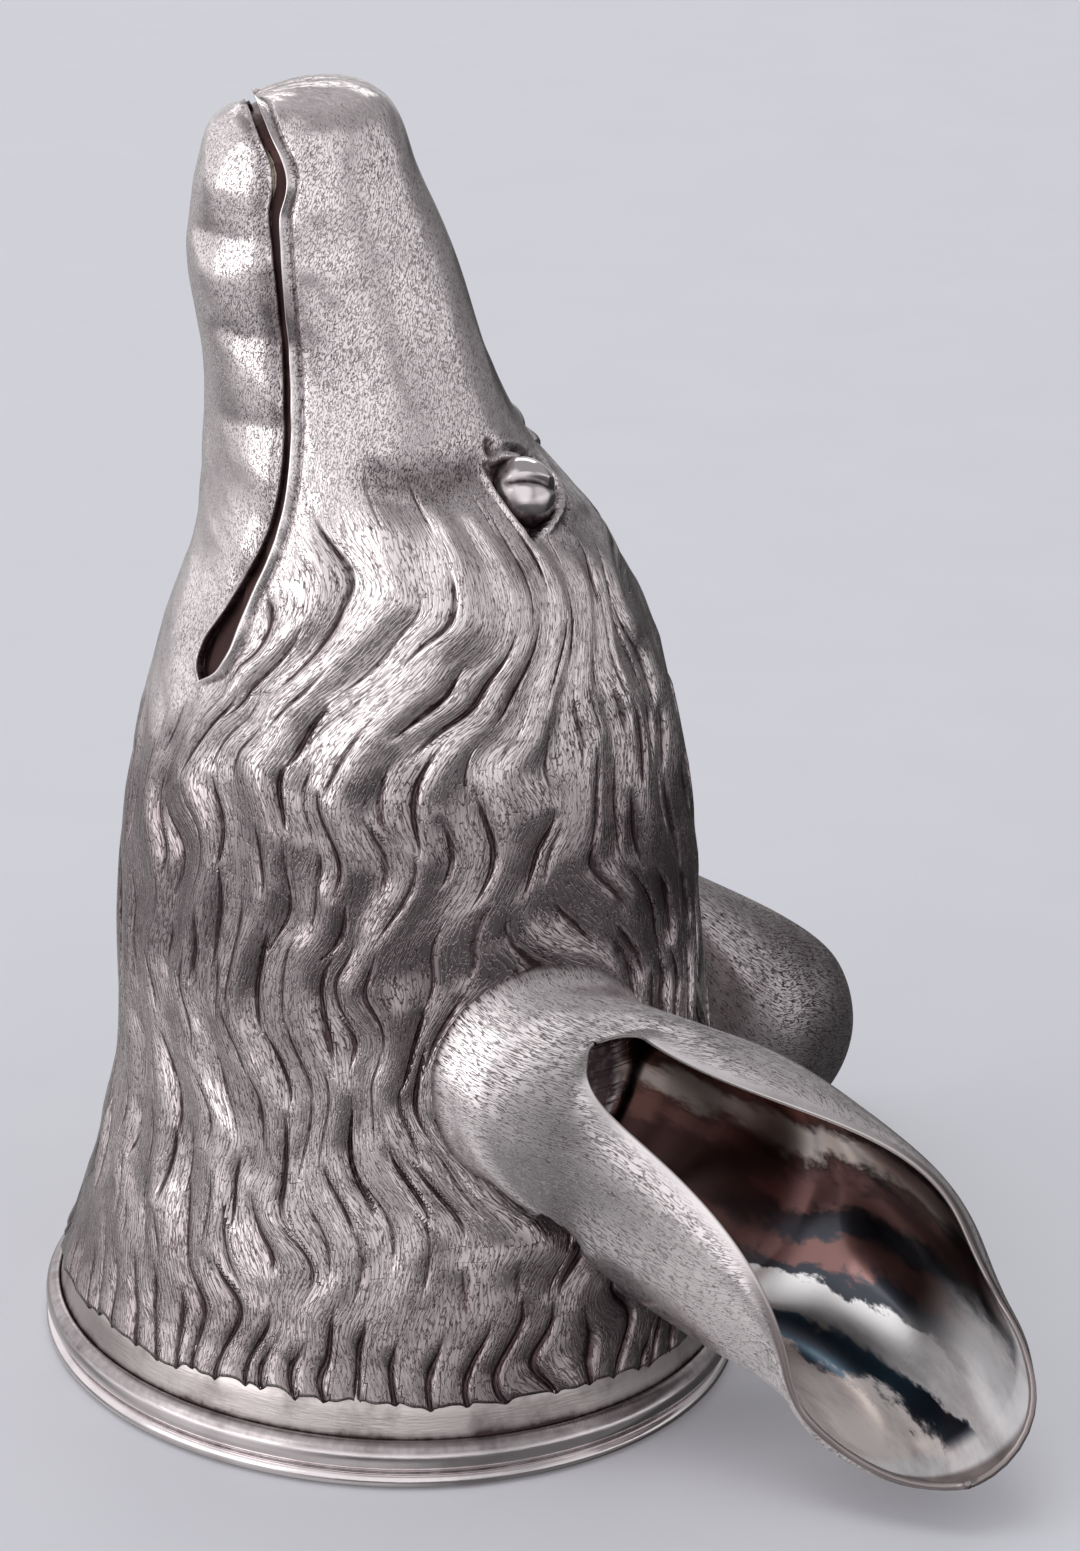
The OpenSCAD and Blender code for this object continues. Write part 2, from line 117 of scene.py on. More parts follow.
# %% Levels, sections and the nose
levels = array([
    [9.6, 85.4, 0.0, 85.4], [19, 81.2, 0.6, 80.5], [36, 76.2, 1.8, 73],
    [60, 72.8, 0.4, 66], [80, 68.6, -0.2, 62], [96, 60.4, -0.8, 56],
    [108, 51, -2, 48], [118, 41.2, -6.1, 38], [130, 34.8, -9.6, 30],
    [144, 31.6, -13.4, 25.6], [156, 24.4, -15.2, 23]])
fringe_z = 9.6
nose_z = 156.0
nose_h = 7.6
nose_tilt = 0.16
parting_x = -21.9


def section(z):
    z = clip(z, fringe_z, nose_z)
    mid = flow(levels[:, 0], levels[:, 2], z)
    deep = flow(levels[:, 0], levels[:, 1], z) / 2
    wide = flow(levels[:, 0], levels[:, 3], z) / 2
    return mid, deep, wide, 0.06 * up(z, 36, 60)


def head_at(z, turn):
    mid, deep, wide, egg = section(z)
    x = mid + deep * cos(turn)
    y = wide * sin(turn) * (1 + egg * cos(turn))
    return stack([x, y, z + 0 * turn], -1)


def nose_at(t, turn):
    mid, deep, wide, egg = section(nose_z)
    rim = head_at(nose_z, turn)
    close = cos(t * math.pi / 2)
    x = parting_x + (rim[..., 0] - parting_x) * close
    y = rim[..., 1] * close
    across = (x - mid) / deep
    reach = np.hypot(across, y / wide)
    for _ in range(4):
        lean = across / maximum(reach, 1e-9)
        reach = np.hypot(across, y / (wide * (1 + egg * lean)))
    rise = np.sqrt(clip(1 - reach ** 2, 0, 1))
    return stack([x, y, nose_z + (nose_h + nose_tilt * (x - mid)) * rise], -1)


def skin_at(z, t, turn):
    return where((t + 0 * turn > 0)[..., None], nose_at(t, turn), head_at(z + 0 * turn, turn))


print("The nose closes between", nose_z, "and", nose_z + nose_h, "mm")

# %% [markdown]
# ## Rows and columns that follow the mouth
# The mouth is an open slit from the corner of the jaw up over the tip. A boolean cut would leave ragged edges
# in a dense mesh. Here the columns bend instead: one runs along each edge of the slit, found by halving the
# angle until it meets the edge. Below the corner the two columns are the same.

# %% The mouth slit and the grid
slit = array([
    [-27.9, 93.4, 0.0], [-27.3, 94.8, 1.8], [-26.4, 97, 2.7],
    [-23.8, 102.8, 2.1], [-20.4, 110.8, 1.5], [-18.6, 117.5, 1.2],
    [-18.1, 128.5, 1.1], [-18.8, 138, 1.0], [-19.6, 146, 1.2],
    [-19.9, 150.5, 1.5], [-19.1, 154.4, 1.9], [-21, 159, 1.5],
    [-22.4, 163, 1.2], [-23, 170, 1.2]])
corner_z = slit[0, 1]


def slit_edge(z, side):
    x = flow(slit[:, 1], slit[:, 0], z)
    half = maximum(flow(slit[:, 1], slit[:, 2], z), 0) / 2
    return x + side * half


def edge_turn(z, t, side):
    low = np.zeros_like(z)
    high = np.full_like(z, math.pi)
    for _ in range(36):
        middle = (low + high) / 2
        p = skin_at(z, t, middle)
        before = p[:, 0] > slit_edge(p[:, 2], side)
        low = where(before, middle, low)
        high = where(before, high, middle)
    return (low + high) / 2


def head_grid(neck_rows, jaw_rows, nose_rows, upper, jaw):
    z = join([
        linspace(fringe_z, corner_z, neck_rows + 1),
        linspace(corner_z, nose_z, jaw_rows + 1)[1:],
        np.full(nose_rows, nose_z)])
    t = join([np.zeros(neck_rows + jaw_rows + 1), linspace(0, 1, nose_rows + 1)[1:] * 0.975])
    corner = edge_turn(array([corner_z]), array([0.0]), 0)[0]
    below = corner + (math.radians(142) - corner) * ease((corner_z - z) / 40)
    closed = arange(len(z)) <= neck_rows
    brow_edge = where(closed, below, edge_turn(maximum(z, corner_z), t, 1))
    chin_edge = where(closed, below, edge_turn(maximum(z, corner_z), t, -1))
    brow_turn = brow_edge[:, None] * linspace(0, 1, upper + 1)
    chin_turn = chin_edge[:, None] + (math.pi - chin_edge)[:, None] * linspace(0, 1, jaw + 1)
    turn = join([brow_turn, chin_turn], 1)
    return z[:, None] + 0 * turn, t[:, None] + 0 * turn, turn


neck_rows, jaw_rows, nose_rows, upper, jaw = 222, 164, 40, 270, 90
z_of, t_of, turn = head_grid(neck_rows, jaw_rows, nose_rows, upper, jaw)
print("Rows and columns on half of the head:", turn.shape)


def soften_rows(points, first, reach, rounds):
    low, high = first - reach, first + reach
    blend = ease(1 - np.abs(arange(low, high) - first) / reach)[:, None, None]
    for _ in range(rounds):
        even = (points[low - 1:high - 1] + points[low + 1:high + 1]) / 2
        points[low:high] += blend * 0.5 * (even - points[low:high])
    return points

# %% [markdown]
# ## Combing the hair
# Chased hair is drawn before it is cut. Every point of the skin gets two numbers: how far it lies across the
# comb and how far along it. A line of equal `across` is one strand. Strands fan out from the corner of the
# eye, sway in long waves and part round the root of the ear, as water parts round a stone.

# %% Places and outward directions
def outward_at(z, t, turn):
    round_way = skin_at(z, t, turn + 0.004) - skin_at(z, t, turn - 0.004)
    up_body = skin_at(z + 0.2, t, turn) - skin_at(z - 0.2, t, turn)
    off_rim = maximum(t, 0.02)
    up_nose = nose_at(off_rim + 0.01, turn) - nose_at(off_rim - 0.01, turn)
    return unit(np.cross(round_way, where((t > 0)[..., None], up_nose, up_body)))


degrees = np.degrees(turn)
place = skin_at(z_of, t_of, turn)
outward = outward_at(z_of, t_of, turn)
nose_arc = 12
along = z_of + nose_arc * t_of
print("Half of the skin has", turn.size, "points")

# %% Strands
wave = 2 * math.pi
_, deep_of, wide_of, _ = section(z_of)
arc = (deep_of + wide_of) / 2 * np.radians(degrees - 75)
root_arc, root_z, root_r = -2.5, 49, 12.5
from_root = maximum((arc - root_arc) ** 2 + (z_of - root_z) ** 2, root_r ** 2)
parted = arc - (arc - root_arc) * root_r ** 2 / from_root
middle_lines = ease(degrees / 26) * down(degrees, 180, 24)
hair_line = flow([0, 25, 50, 80, 105, 125, 140, 155, 180],
                 [113, 110, 114, 119.5, 119, 114, 102, 91, 88], degrees)
coat = ease((hair_line - z_of) / 5)
to_throat = up(arc, -24, 28)
drift = (21 * to_throat - 8 * (1 - to_throat)) * up(z_of, 80, 38)
sway = 1.6 * sin(wave * (z_of / 25 + parted / 70 + 0.16 * sin(wave * (parted / 46 + z_of / 75))))
sway += 0.4 * sin(wave * (z_of / 13 + parted / 120 + 0.3 * sin(wave * (parted / 29 - z_of / 60))))
across = parted + middle_lines * (drift + down(z_of, 125, 12) * sway)
print("The comb is", round(np.ptp(across)), "mm wide")

# %% [markdown]
# ## Locks and grooves
# The chaser cuts leaf-shaped grooves between the locks, steep on one side and sloping on the other. The cut
# itself is finer than the mesh. So the mesh carries the slope, and each vertex notes how far it lies beside
# the nearest cut and how strong that cut is. The material draws the thin dark line from these.

# %% Leaf-shaped grooves
def no_cut(s):
    return [np.zeros_like(s), np.full_like(s, 9.0), np.zeros_like(s)]


def deeper(kept, fresh):
    nearer = fresh[0] > kept[0]
    return [where(nearer, new, old) for new, old in zip(fresh, kept)]


def leaf_grooves(s, v, wide, high, seed):
    cut = no_cut(s)
    column = np.floor(s / wide)
    for i in (-1, 0, 1):
        n = column + i
        shift = high * (0.5 * np.mod(n, 2) + 0.35 * scatter(n, seed))
        first_row = np.floor((v + shift) / high)
        for j in (-1, 0, 1):
            m = first_row + j
            luck = {k: scatter(n * 37 + m * 11.3, seed + k) for k in range(1, 8)}
            centre_s = wide * (n + 0.5 + 0.75 * (luck[1] - 0.5))
            centre_v = high * (m + 0.5 + 0.5 * (luck[2] - 0.5)) - shift
            half_long = (3.8 + 4.4 * luck[3]) * (1 + 0.35 * up(v, 85, 20))
            half_wide = 0.17 + 0.18 * luck[4]
            fewer = 0.85 * up(v, 86, 14) * (luck[7] < 0.5)
            deep = (0.3 + 0.7 * luck[5]) * (1 - fewer)
            at = (v - centre_v) / half_long
            body = clip(1 - at * at, 0, 1) ** 1.3
            d = s - centre_s - 0.2 * (luck[6] - 0.5) * (v - centre_v) - 0.5 * at * at
            here = deep * body * exp(-np.abs(d / where(d < 0, 0.42, 1.2)) ** 1.5)
            beside = d / (half_wide * (0.35 + 0.65 * body))
            power = (0.25 + 0.75 * deep) * (1 - fewer) * minimum(1, 1.5 * body)
            cut = deeper(cut, (here, beside, power))
    return cut

# %% Comb lines over the fringe
def comb_lines(s, v, pitch, seed):
    cut = no_cut(s)
    first = np.floor(s / pitch)
    for step in (-1, 0, 1, 2):
        n = first + step
        d = s - pitch * (n + 0.6 * (scatter(n, seed) - 0.5))
        end = 16 + 10 * scatter(n, seed + 1)
        run = ease((end - v) / 6)
        here = run * exp(-np.abs(d / where(d < 0, 0.42, 1.1)) ** 1.5)
        cut = deeper(cut, (here, d / (0.12 + 0.2 * run), minimum(1, 1.4 * run)))
    return cut

# %% Locks
groove_pitch = 4.0
lock_pitch = 9.6
leaves, leaf_beside, leaf_power = leaf_grooves(across, along, groove_pitch, 11, 11)
starts = up(along, 20, 5)
lean = across + 0.9 * sin(wave * along / 15) * down(along, 26, 8)
comb_cut, comb_beside, comb_power = comb_lines(lean, along, groove_pitch, 17)
quiet = ease((hair_line + 4 - z_of) / 9) * (1 - 0.6 * up(degrees, 142, 20) * up(z_of, 50, 30))
leaves = leaves * starts * quiet
groove = maximum(leaves, 0.75 * comb_cut)
in_comb = comb_cut > leaves
beside = where(in_comb, comb_beside, leaf_beside)
power = where(in_comb, comb_power, leaf_power * starts * quiet)
from_ear = np.sqrt((arc - root_arc) ** 2 + (z_of - root_z) ** 2)
lock = cos(wave * (across / lock_pitch + 0.18 * sin(wave * (along / 44 + across / 60))))
lock_height = 0.42 * lock * up(along, 19, 10) * up(from_ear, 13.5, 4) - 0.75 * groove
lock_height += 0.12 * soft_noise(across / 2.6, along / 12, 7)
lock_height += 0.15 * soft_noise(across / 8, along / 22, 5)
print("Deepest groove", round(-(lock_height * coat).min(), 2), "mm")

# %% [markdown]
# ## Muzzle, jaw and eye socket
# The muzzle stays almost plain: swells along the jaw with creases between them, a bright raised line on the
# brow edge of the slit, and a fold where the cheek begins. The eye sits in an almond-shaped socket measured
# in its own little frame. All of this is height on one skin, as on the real sheet; the creases, the fold, the
# socket and the chin edge of the slit are also darkened as painted shade.

# %% Eye frame and socket
eye_turn = math.radians(33)
eye_z = 116.6
around = head_at(eye_z + array([0, 0, 0, 0.2, -0.2]), eye_turn + array([0, 0.01, -0.01, 0, 0]))
eye_place = around[0]
eye_out = unit(np.cross(around[1] - around[2], around[3] - around[4]))
eye_long = array([0.463, 0.352, -0.815])
eye_long = unit(eye_long - eye_out * (eye_long @ eye_out))
eye_side = np.cross(eye_long, eye_out)
near = place - eye_place
el = near @ eye_long + 0.4
es = near @ eye_side
close_by = hump(near @ eye_out, 7)
arch = 1 - (el / 4.9) ** 2
from_brow = (es + 5.0 - 8.3 * arch) / np.sqrt(1 + (0.69 * el) ** 2)
from_cheek = -6.2 - 0.3 * arch - es
socket = close_by * ease((0.3 - maximum(from_brow, from_cheek)) / 0.5)
brow_lid = close_by * up(es, -5.2, 2) * up(el, -7, 2.5) * down(el, 7, 3)
lid = hump(from_brow - 0.85, 0.42) * brow_lid
lid_line = hump(from_brow - 1.65, 0.42) * brow_lid
brow_swell = hump(maximum(from_brow - 0.7, 0), 3.2) * up(from_brow, 0.1, 0.5) * brow_lid
brow_swell *= up(el, -4.5, 5)
brow_cut = hump(from_brow, 0.4) * brow_lid
cheek_lid = hump(from_cheek - 0.55, 0.4) * close_by * up(el, -5.2, 1.5) * down(el, 5.2, 1.5)
tear = exp(-((el + 6.4) ** 2 + (es + 4.3) ** 2) / 0.95 ** 2) * close_by
small_tear = exp(-((el + 4.2) ** 2 + (es - 0.8) ** 2) / 0.6 ** 2) * close_by
print("Eye at", np.round(eye_place, 1), "mm")

# %% Slit, swells and cheek fold
def bump_at(turn_deg, z, wide, high):
    return exp(-((degrees - turn_deg) * np.pi / 180 * 15 / wide) ** 2 - ((along - z) / high) ** 2)


stretch = (deep_of + wide_of) / 2 * maximum(cos(t_of * math.pi / 2), 0.3)
to_brow = turn[:, upper:upper + 1] - turn[:, :upper + 1]
to_chin = turn[:, upper + 1:] - turn[:, upper + 1:upper + 2]
from_slit = stretch * join([to_brow, to_chin], 1)
open_rows = ease((z_of - corner_z + 1.5) / 2)
chin_side = (arange(turn.shape[1]) > upper)[None, :]
slit_lip = open_rows * hump(from_slit, 0.5) * where(chin_side, 0.35, 1)
lip_line = open_rows * hump(from_slit - 1.1, 0.3) * where(chin_side, 0, 1)
tucked = open_rows * hump(from_slit, 1.5) * where(chin_side, 1, 0) * ease((z_of - corner_z - 6) / 8)
swell = 0.8 * bump_at(148, 152.5, 4.5, 3.4) + 0.7 * bump_at(145, 141, 4.5, 3.6)
swell = swell + 0.6 * bump_at(142, 130, 4, 3.6) + 0.35 * bump_at(140, 119.5, 4, 3.2)
swell += 0.3 * bump_at(98, 150, 3.2, 4)
crease = bump_at(147, 146.6, 5, 1.7) + bump_at(144, 135.6, 5, 1.7) + 0.8 * bump_at(141, 124.8, 5, 1.7)
swell = swell - 0.5 * crease - 0.35 * bump_at(116, 135.5, 2.6, 2.2)
cheek_side = hump(degrees - 76, 30)
fold_z = 119.8 + 1.6 * down(degrees, 80, 34)
fold_side = down(degrees, 106, 16) * up(degrees, 46, 10)
cheek_bulge = 1.9 * ease((fold_z - 1.4 - z_of) / 3.4) * hump(z_of - 108.5, 8)
cheek_step = cheek_bulge * cheek_side - 0.9 * fold_side * hump(z_of - fold_z, 2.6)
hammered = 0.10 * soft_noise(arc / 5, along / 6, 31) + 0.05 * soft_noise(arc / 2.1, along / 2.4, 33)
hammered += 0.14 * (1 - coat) * soft_noise(arc / 4.2, along / 11, 35)

# %% Relief, tarnish and painted shade
deepest = 1.1
plain = (1 - 0.9 * socket) * (1 - slit_lip)
relief = coat * lock_height * plain * (1 - lid) + hammered * (1 - socket) + swell + cheek_step
relief = relief + 0.45 * slit_lip - 0.3 * lip_line - 0.5 * tucked - 1.6 * socket + 1.1 * brow_swell
relief = relief + 0.5 * lid - 0.8 * lid_line + 0.5 * cheek_lid
relief = relief - 0.9 * tear - 0.7 * small_tear
relief = maximum(relief, -deepest) + 0.3 * down(z_of, 14, 4)
worn = 0.3 * down(z_of, 15, 5) * (1 - comb_cut)
# Painted shade: the ground round the ear root, the cheek fold and the chin edge of the slit (in dark_fold),
# the jaw creases, and the eye socket with its lid line, brow cut and tear dimples are darkened here. The
# groove share and the incised lip line are tarnish.
ear_root_shade = down(from_ear, 11, 2)
dark_fold = 0.6 * lip_line + 0.55 * tucked + 0.7 * fold_side * hump(z_of - fold_z, 2.3)
shade_and_tarnish = 0.35 * groove * coat + 0.8 * socket + tear + small_tear + lid_line + 0.9 * brow_cut
shade_and_tarnish = clip(shade_and_tarnish + dark_fold + ear_root_shade + 0.22 * crease, 0, 1)
print("Relief from", round(relief.min(), 2), "to", round(relief.max(), 2), "mm")

# %% [markdown]
# ## From grid to skin
# The fringe makes the lowest edge ragged. Then the grid is lifted by its relief, turned in at the fringe and
# along the slit, mirrored to the other side and welded. A few numbers ride on every vertex, and the materials
# read them to know where the hair runs.

# %% Mesh builder
def put_in_scene(name, data):
    made = bpy.data.objects.new(name, data)
    bpy.context.scene.collection.objects.link(made)
    return made


def make_piece(name, node, points, quads, values=None, flat=None):
    key = np.round(points * 2000).astype(np.int64)
    _, first, back = np.unique(key, axis=0, return_index=True, return_inverse=True)
    faces = back.reshape(-1)[quads]
    same = faces == np.roll(faces, -1, axis=1)
    crossed = (faces[:, 0] == faces[:, 2]) | (faces[:, 1] == faces[:, 3])
    whole = (same.sum(1) == 0) & ~crossed
    bent = (same.sum(1) == 1) & ~crossed
    corner = np.argmax(same[bent], 1)
    keep = (corner[:, None] + array([1, 2, 3])) % 4
    loops, source = (join([way[whole].ravel(), np.take_along_axis(way[bent], keep, 1).ravel()])
                     for way in (faces, quads))
    starts = join([arange(whole.sum()) * 4, whole.sum() * 4 + arange(bent.sum()) * 3])
    mesh = bpy.data.meshes.new(name)
    mesh.vertices.add(len(first))
    mesh.vertices.foreach_set("co", (points[first] * 0.001).astype(np.float32).ravel())
    mesh.loops.add(len(loops))
    mesh.loops.foreach_set("vertex_index", loops.astype(np.int32))
    mesh.polygons.add(len(starts))
    mesh.polygons.foreach_set("loop_start", starts.astype(np.int32))
    mesh.update(calc_edges=True)
    mesh.polygons.foreach_set("use_smooth", np.ones(len(starts), bool))
    for title, value in (values or {}).items():
        layer = mesh.attributes.new(title, "FLOAT", "POINT")
        layer.data.foreach_set("value", np.asarray(value).ravel()[first].astype(np.float32))
    if flat is not None:
        layer = mesh.uv_layers.new(name="OFBake")
        layer.uv.foreach_set("vector", flat[source].astype(np.float32).ravel())
    mesh.validate()
    piece = put_in_scene(name, mesh)
    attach(piece, "root")
    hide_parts(node)
    print(name, "has", len(mesh.polygons), "faces")
    return piece

# %% Faces, flat map and mirror
def sheet_quads(grid, keep):
    index = arange(grid.shape[0] * grid.shape[1]).reshape(grid.shape[:2])
    return stack([index[:-1, :-1], index[:-1, 1:], index[1:, 1:], index[1:, :-1]], -1)[keep]


def all_cells(grid):
    return np.ones((grid.shape[0] - 1, grid.shape[1] - 1), bool)


def flat_map(grid, wide=0.98):
    high, across = grid.shape[:2]
    u = (arange(across) + 0.5) / across
    v = (arange(high) + 0.5) / high
    spread = stack(np.broadcast_arrays(u[None, :], v[:, None]), -1).reshape(-1, 2)
    return spread * array([wide, 0.98]) + 0.01


def both_sides(grid, quads):
    one = grid.reshape(-1, 3)
    points = join([one, one * array([1, -1, 1])])
    return points, join([quads, quads[:, ::-1] + len(one)])

# %% The fringe
low_across = across[:1]
fringe = 0.2 + 0.8 * soft_noise(low_across / 6, 0 * low_across, 17)
fringe = fringe + 0.4 * soft_noise(low_across / 2.3, 0 * low_across, 19) - 0.8 * comb_cut[:1] ** 2
low_rows = 1 - ease((z_of - fringe_z) / 9)
place_low = skin_at(z_of + low_rows * fringe, t_of, turn)
place_low = where((t_of > 0)[..., None], place, place_low)
place_low = soften_rows(place_low, neck_rows + jaw_rows, 16, 60)
lifted = place_low + outward * relief[..., None]
turned_in = [(0.75, 0.3), (0.35, 0.12)]
foot = [lifted[:1] - outward[:1] * d + array([0, 0, r]) for d, r in turned_in]
rows = join(foot + [lifted], 0)

# %% Walls of the slit
def with_foot(value):
    return join([value[:1]] * len(foot) + [value], 0)


def slit_wall(column):
    edge = rows[:, column]
    way = with_foot(outward)[:, column]
    return stack([edge - way * d for d in (0.2, 0.8, 1.5)], 1)


def with_walls(value, wall=np.nan):
    value = with_foot(value)
    walls = np.zeros((len(value), 6)) + wall
    walls = where(np.isnan(walls), value[:, upper][:, None], walls)
    return join([value[:, :upper + 1], walls, value[:, upper + 1:]], 1)


chin_wall = slit_wall(upper + 1)[:, ::-1]
skin = join([rows[:, :upper + 1], slit_wall(upper), chin_wall, rows[:, upper + 1:]], 1)
# The walls of the slit are darkened: painted shade inside the slit.
skin_values = {
    "across": with_walls(across),
    "along": with_walls(along),
    "round": with_walls(arc),
    "shade_and_tarnish": with_walls(shade_and_tarnish, [0.25, 0.9, 1, 1, 0.9, 0.25]),
    "coat": with_walls(coat),
    "beside": with_walls(beside, 9.0),
    "power": with_walls(power, 0.0),
    "bright": with_walls(clip(slit_lip + 0.6 * lid + worn, 0, 1), [0.7, 0, 0, 0, 0, 0.7])}

# %% The mirrored skin
keep = all_cells(skin)
keep[:, upper + 3] = False
keep[:neck_rows + len(foot), upper:upper + 7] = False
points, faces = both_sides(skin, sheet_quads(skin, keep))
flat = flat_map(skin, 0.48)
flat = join([flat, flat + array([0.5, 0])])
both = {title: np.tile(value.ravel(), 2) for title, value in skin_values.items()}
head_skin = make_piece("head_skin", "head_shell", points, faces, both, flat)

# %% [markdown]
# ## The inside of the head
# The cup drinks from below, so the inside shows when it is lifted. It is the same form, one sheet thickness
# further in and without the hair. A coarser grid is enough.

# %% Lining
sheet_in = 1.25
lining_upper = 54
lining_at = head_grid(60, 48, 14, lining_upper, 18)
lining = skin_at(*lining_at) - sheet_in * outward_at(*lining_at)
keep = all_cells(lining)
keep[:, lining_upper] = False
points, faces = both_sides(lining, sheet_quads(lining, keep)[:, ::-1])
head_lining = make_piece("head_lining", "head_shell", points, faces)

# %% [markdown]
# ## Eyes
# Each eye is a polished bead with a rolled lid across its front third. Under the roll lies a crease, a small
# dip darkened as painted shade, which makes the eye look sleepy. Bead and roll are one mesh: a dome whose
# height gets a smooth step.

# %% Eye beads
ring = linspace(0, 2 * math.pi, 97)
dome = linspace(0, 1, 60) * math.pi / 2
far = sin(dome)[::-1][:, None] + 0 * ring
rise = cos(dome)[::-1][:, None] + 0 * ring
bead_l = -0.5 + 4.5 * far * cos(ring)
bead_s = -1.8 + 4.3 * far * sin(ring)
bead_h = 4.4 * rise - 1.2
past = bead_s + 1.7
roll_line = 0.3 + 0.8 * minimum(past, 0) + 0.3 * maximum(past, 0)
fold = down(bead_s, 2.5, 4)
roll = ease((roll_line - bead_l) / 0.9) * down(far, 1, 0.12) * fold
crease = hump(bead_l - roll_line - 0.35, 0.55) * down(far, 1, 0.15) * fold
bead_h = bead_h + 0.4 * roll - 0.35 * crease
bead = eye_place + bead_l[..., None] * eye_long + bead_s[..., None] * eye_side + bead_h[..., None] * eye_out
bead_quads = sheet_quads(bead, all_cells(bead))[:, ::-1]
# The lower part of the bead and its edge against the socket are darkened as painted shade, and so is the
# crease under the roll.
painted_low_shade = 0.85 * up(bead_l, 1.5, 2.2) + 0.8 * up(far, 0.84, 0.16)
bead_values = {"shade_and_tarnish": clip(crease + painted_low_shade, 0, 1)}
eyes = []
for side, y in (("right", 1), ("left", -1)):
    faces = bead_quads if y > 0 else bead_quads[:, ::-1]
    points = bead.reshape(-1, 3) * array([1, y, 1])
    eyes.append(make_piece(side + "_eye_bead", side + "_eye", points, faces, bead_values))

# %% [markdown]
# ## Ears
# An ear is a leaf of sheet silver. Its root is curled into a tube on the head, and the tube opens at a round
# keyhole into a long hollow with a flared tip. The sheet is drawn twice, outside and inside, and a rounded
# rim joins the two.

# %% Form of the left ear
ear_back = array([[45, -20.5, 15.5], [49, -25.5, 13.5], [66, -38, 6], [62, -60, 7.5]])
ear_face = unit(array([-0.12, -0.87, 0.47]))
keyhole = 0.39
ear_wall = 1.3


def back_line(t):
    t = t[:, None]
    p = ear_back
    at = (1 - t) ** 3 * p[0] + 3 * (1 - t) ** 2 * t * p[1] + 3 * (1 - t) * t * t * p[2] + t ** 3 * p[3]
    way = (1 - t) ** 2 * (p[1] - p[0]) + 2 * (1 - t) * t * (p[2] - p[1]) + t * t * (p[3] - p[2])
    return at, unit(way)


def leaf_frame(t):
    at, way = back_line(t)
    front = unit(ear_face - (way @ ear_face)[:, None] * way)
    twist = np.radians(flow([0, 0.5, 1], [-14, -17, 24], t))[:, None]
    front = front * cos(twist) + np.cross(way, front) * sin(twist)
    curl = flow([0, 1 / 3, 2 / 3, 1], [17.4, 16.4, 14, 12.5], t)
    return at, way, front, np.cross(way, front), curl


def on_side(x, z, lift):
    mid, deep, wide, egg = section(z)
    c = clip((x - mid) / deep, -1, 1)
    s = np.sqrt(1 - c * c)
    normal = unit(stack([c / deep, -s / wide, 0 * s], -1))
    return stack([x, -wide * s * (1 + egg * c), z], -1) + lift * normal, normal


def margin(halves, g):
    open_share = np.sqrt(clip((g - keyhole) / (2 - keyhole), 0, 1))
    return np.radians(flow([0, 0.18, 0.36, 0.5, 0.62, 0.69, 0.81, 0.92, 0.97, 0.99, 1], halves, open_share))


def ear_at(g, a, out):
    g = g[:, None] + 0 * a
    at, way, front, side, curl = leaf_frame(clip(g[:, 0] - 1, 0, 1))
    reach = curl[:, None] + out
    leaf = at[:, None] + curl[:, None, None] * front[:, None]
    bend = sin(a)[..., None] * side[:, None] - cos(a)[..., None] * front[:, None]
    leaf = leaf + reach[..., None] * bend
    r = 11.2 + out
    x = 13 + r * cos(a + math.pi / 4)
    z = 49 - r * sin(a + math.pi / 4)
    start, normal = on_side(x, z, -0.7)
    run = 1 + 11 * (0.5 - 0.5 * cos(a))
    v = clip(g, 0, 1)[..., None]
    lead = leaf - run[..., None] * way[:, None]
    tube = (1 - v) ** 3 * start + 3 * (1 - v) ** 2 * v * (start + 12 * normal)
    tube = tube + 3 * (1 - v) * v * v * lead + v ** 3 * leaf
    return where((g < 1)[..., None], tube, leaf)

# %% Margins and inner sheet of the ear
tube_g = linspace(0, 1, 37) ** 1.1 * keyhole
open_s = 1 - (1 - linspace(0, 1, 161)[1:]) ** 1.35
ear_g = join([tube_g, keyhole + (2 - keyhole) * open_s ** 2])
closed_rows = len(tube_g) - 1
ear_columns = 130
upper_margin = margin([162, 148, 158, 165, 159, 142, 120, 97, 76, 42, 1.5], ear_g)[:, None]
lower_margin = margin([198, 183, 160, 155, 152, 146, 120, 98, 72, 41, 1.5], ear_g)[:, None]
spread_u = linspace(-1, 1, ear_columns + 1)
a = (lower_margin - upper_margin + (upper_margin + lower_margin) * spread_u) / 2
edge_gap = (upper_margin + lower_margin) * 7.5 * (1 - np.abs(spread_u))
rim = hump(edge_gap, 1.8) * ease((ear_g - keyhole) / 0.1)[:, None]
tip = hump(2 - ear_g, 0.05)[:, None]
rim = maximum(rim, tip)
flare = 1.7 * hump(ear_g, 0.07)[:, None]
ear_long = ear_g[:, None] * 36 + 0 * a
beaten_out = 0.10 * soft_noise(a * 3.2, ear_long / 7, 41) * (1 - rim)
beaten_in = 0.16 * soft_noise(a * 2.4, ear_long / 13, 43) * (1 - rim)
inner = ear_at(ear_g, a, beaten_in + 0.35 * tip)
leaf_row = int(np.searchsorted(ear_g, 1.0))
inner = soften_rows(inner, leaf_row - 6, 52, 900)

